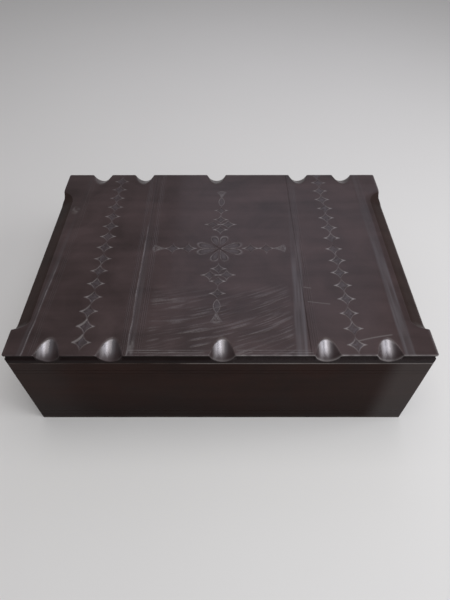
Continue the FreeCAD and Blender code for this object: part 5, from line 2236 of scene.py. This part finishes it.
@dataclass(frozen=True)
class Studio:
    """A pale floor, soft light and the photograph's view."""

    floor_tone: Tone = (0.74, 0.73, 0.72)
    floor_rings: tuple[float, ...] = (1.0, 3.0, 7.0, 16.0)
    floor_turns: int = 64
    floor_shade: float = 0.97
    floor_roughness: float = 0.9
    floor_specular: float = 0.1
    world_tone: Tone = (0.97, 0.97, 1.0)
    world_strength: float = 0.29
    softboxes: tuple[Softbox, ...] = (
        Softbox("front_softbox", (0.7, -1.1, 2.7), (0.0, -0.2, 0.3), 1.8, 0.8, 18, (0.95, 0.97, 1.0)),
        Softbox("side_softbox", (2.6, -0.7, 1.9), (0.0, -0.2, 0.3), 2.0, 2.0, 40, (0.95, 0.97, 1.0)),
        Softbox("back_softbox", (0.5, 2.1, 2.5), (0.1, 0.0, 0.3), 2.0, 1.5, 7.5, (0.82, 0.82, 1.0)),
        Softbox("overhead", (0.0, 0.0, 4.2), (0.0, 0.0, 0.3), 3.0, 3.0, 50, (1.0, 0.97, 0.93)),
    )
    sensor_width: float = 36.0
    image_height: float = 600.0
    focal_pixels: float = 452.79
    centre_row: float = 283.7
    clip: tuple[float, float] = (0.01, 100.0)
    pitch: float = math.radians(48.448)
    yaw: float = math.radians(0.12)
    roll: float = math.radians(-0.121)
    camera_place: Tone = mm(12.8, -910.8, 1196.3)

    def floor(self) -> None:
        """A large round floor: rings of points at even turns."""
        turn = np.linspace(0, 2 * math.pi, self.floor_turns, endpoint=False)
        x, y = np.outer(self.floor_rings, np.cos(turn)), np.outer(self.floor_rings, np.sin(turn))
        index = np.arange(x.size).reshape(x.shape)
        around = np.concatenate([index, index[:, :1]], axis=1)
        floor = piece_from("floor", np.stack([x, y, 0 * x], axis=-1).reshape(-1, 3),
                           [grid_quads(around)[:, ::-1], index[:1]])
        material = bpy.data.materials.new("floor_paper")
        material.use_nodes = True
        recipe = Recipe(material.node_tree)
        clouds = recipe.clouds(recipe.place(), 1.5, 3.0)
        darker = tuple(self.floor_shade * part for part in self.floor_tone)
        recipe.feed_all(material.node_tree.nodes["Principled BSDF"], {
            "Base Color": recipe.mixed(clouds, darker, self.floor_tone), "Roughness": self.floor_roughness,
            "Specular IOR Level": self.floor_specular})
        floor.data.materials.append(material)

    def world(self) -> None:
        """An even pale world."""
        world = bpy.data.worlds.new("studio")
        world.use_nodes = True
        Recipe(world.node_tree).feed_all(world.node_tree.nodes["Background"],
                                         {"Color": self.world_tone, "Strength": self.world_strength})
        bpy.context.scene.world = world

    def camera(self) -> None:
        """The photograph's view: a focal length in pixels, and a centre a little above the picture's."""
        data = bpy.data.cameras.new("camera")
        data.sensor_width = self.sensor_width
        data.lens = self.focal_pixels * self.sensor_width / self.image_height
        data.shift_y = (self.centre_row - self.image_height / 2) / self.image_height
        data.clip_start, data.clip_end = self.clip
        camera = bpy.data.objects.new("camera", data)
        turn = (Matrix.Rotation(self.yaw, 4, "Z") @ Matrix.Rotation(math.pi / 2 - self.pitch, 4, "X")
                @ Matrix.Rotation(self.roll, 4, "Z"))
        camera.matrix_world = Matrix.Translation(self.camera_place) @ turn
        bpy.context.scene.collection.objects.link(camera)
        bpy.context.scene.camera = camera

    def build(self) -> None:
        """Sets up the studio."""
        self.floor()
        self.world()
        for softbox in self.softboxes:
            softbox.build()
        self.camera()
        bpy.context.scene.view_settings.view_transform = "Standard"


def main() -> None:
    """Builds the chest's looks, from the leather to the light."""
    logging.basicConfig(level=logging.INFO, format="%(name)s %(message)s")
    sizes = ChestSizes.from_frame()
    seats = HingeSeats.from_frame(sizes)
    LidHides(sizes, seats, (LID_LEATHER, RIM_LEATHER, END_LEATHER)).build()
    BodyLeather(sizes, seats, BODY_LEATHER).build()
    Tacks(sizes, TACK_BRASS).build()
    CarriedNodes().build()
    Studio().build()


if __name__ == "__main__":
    main()
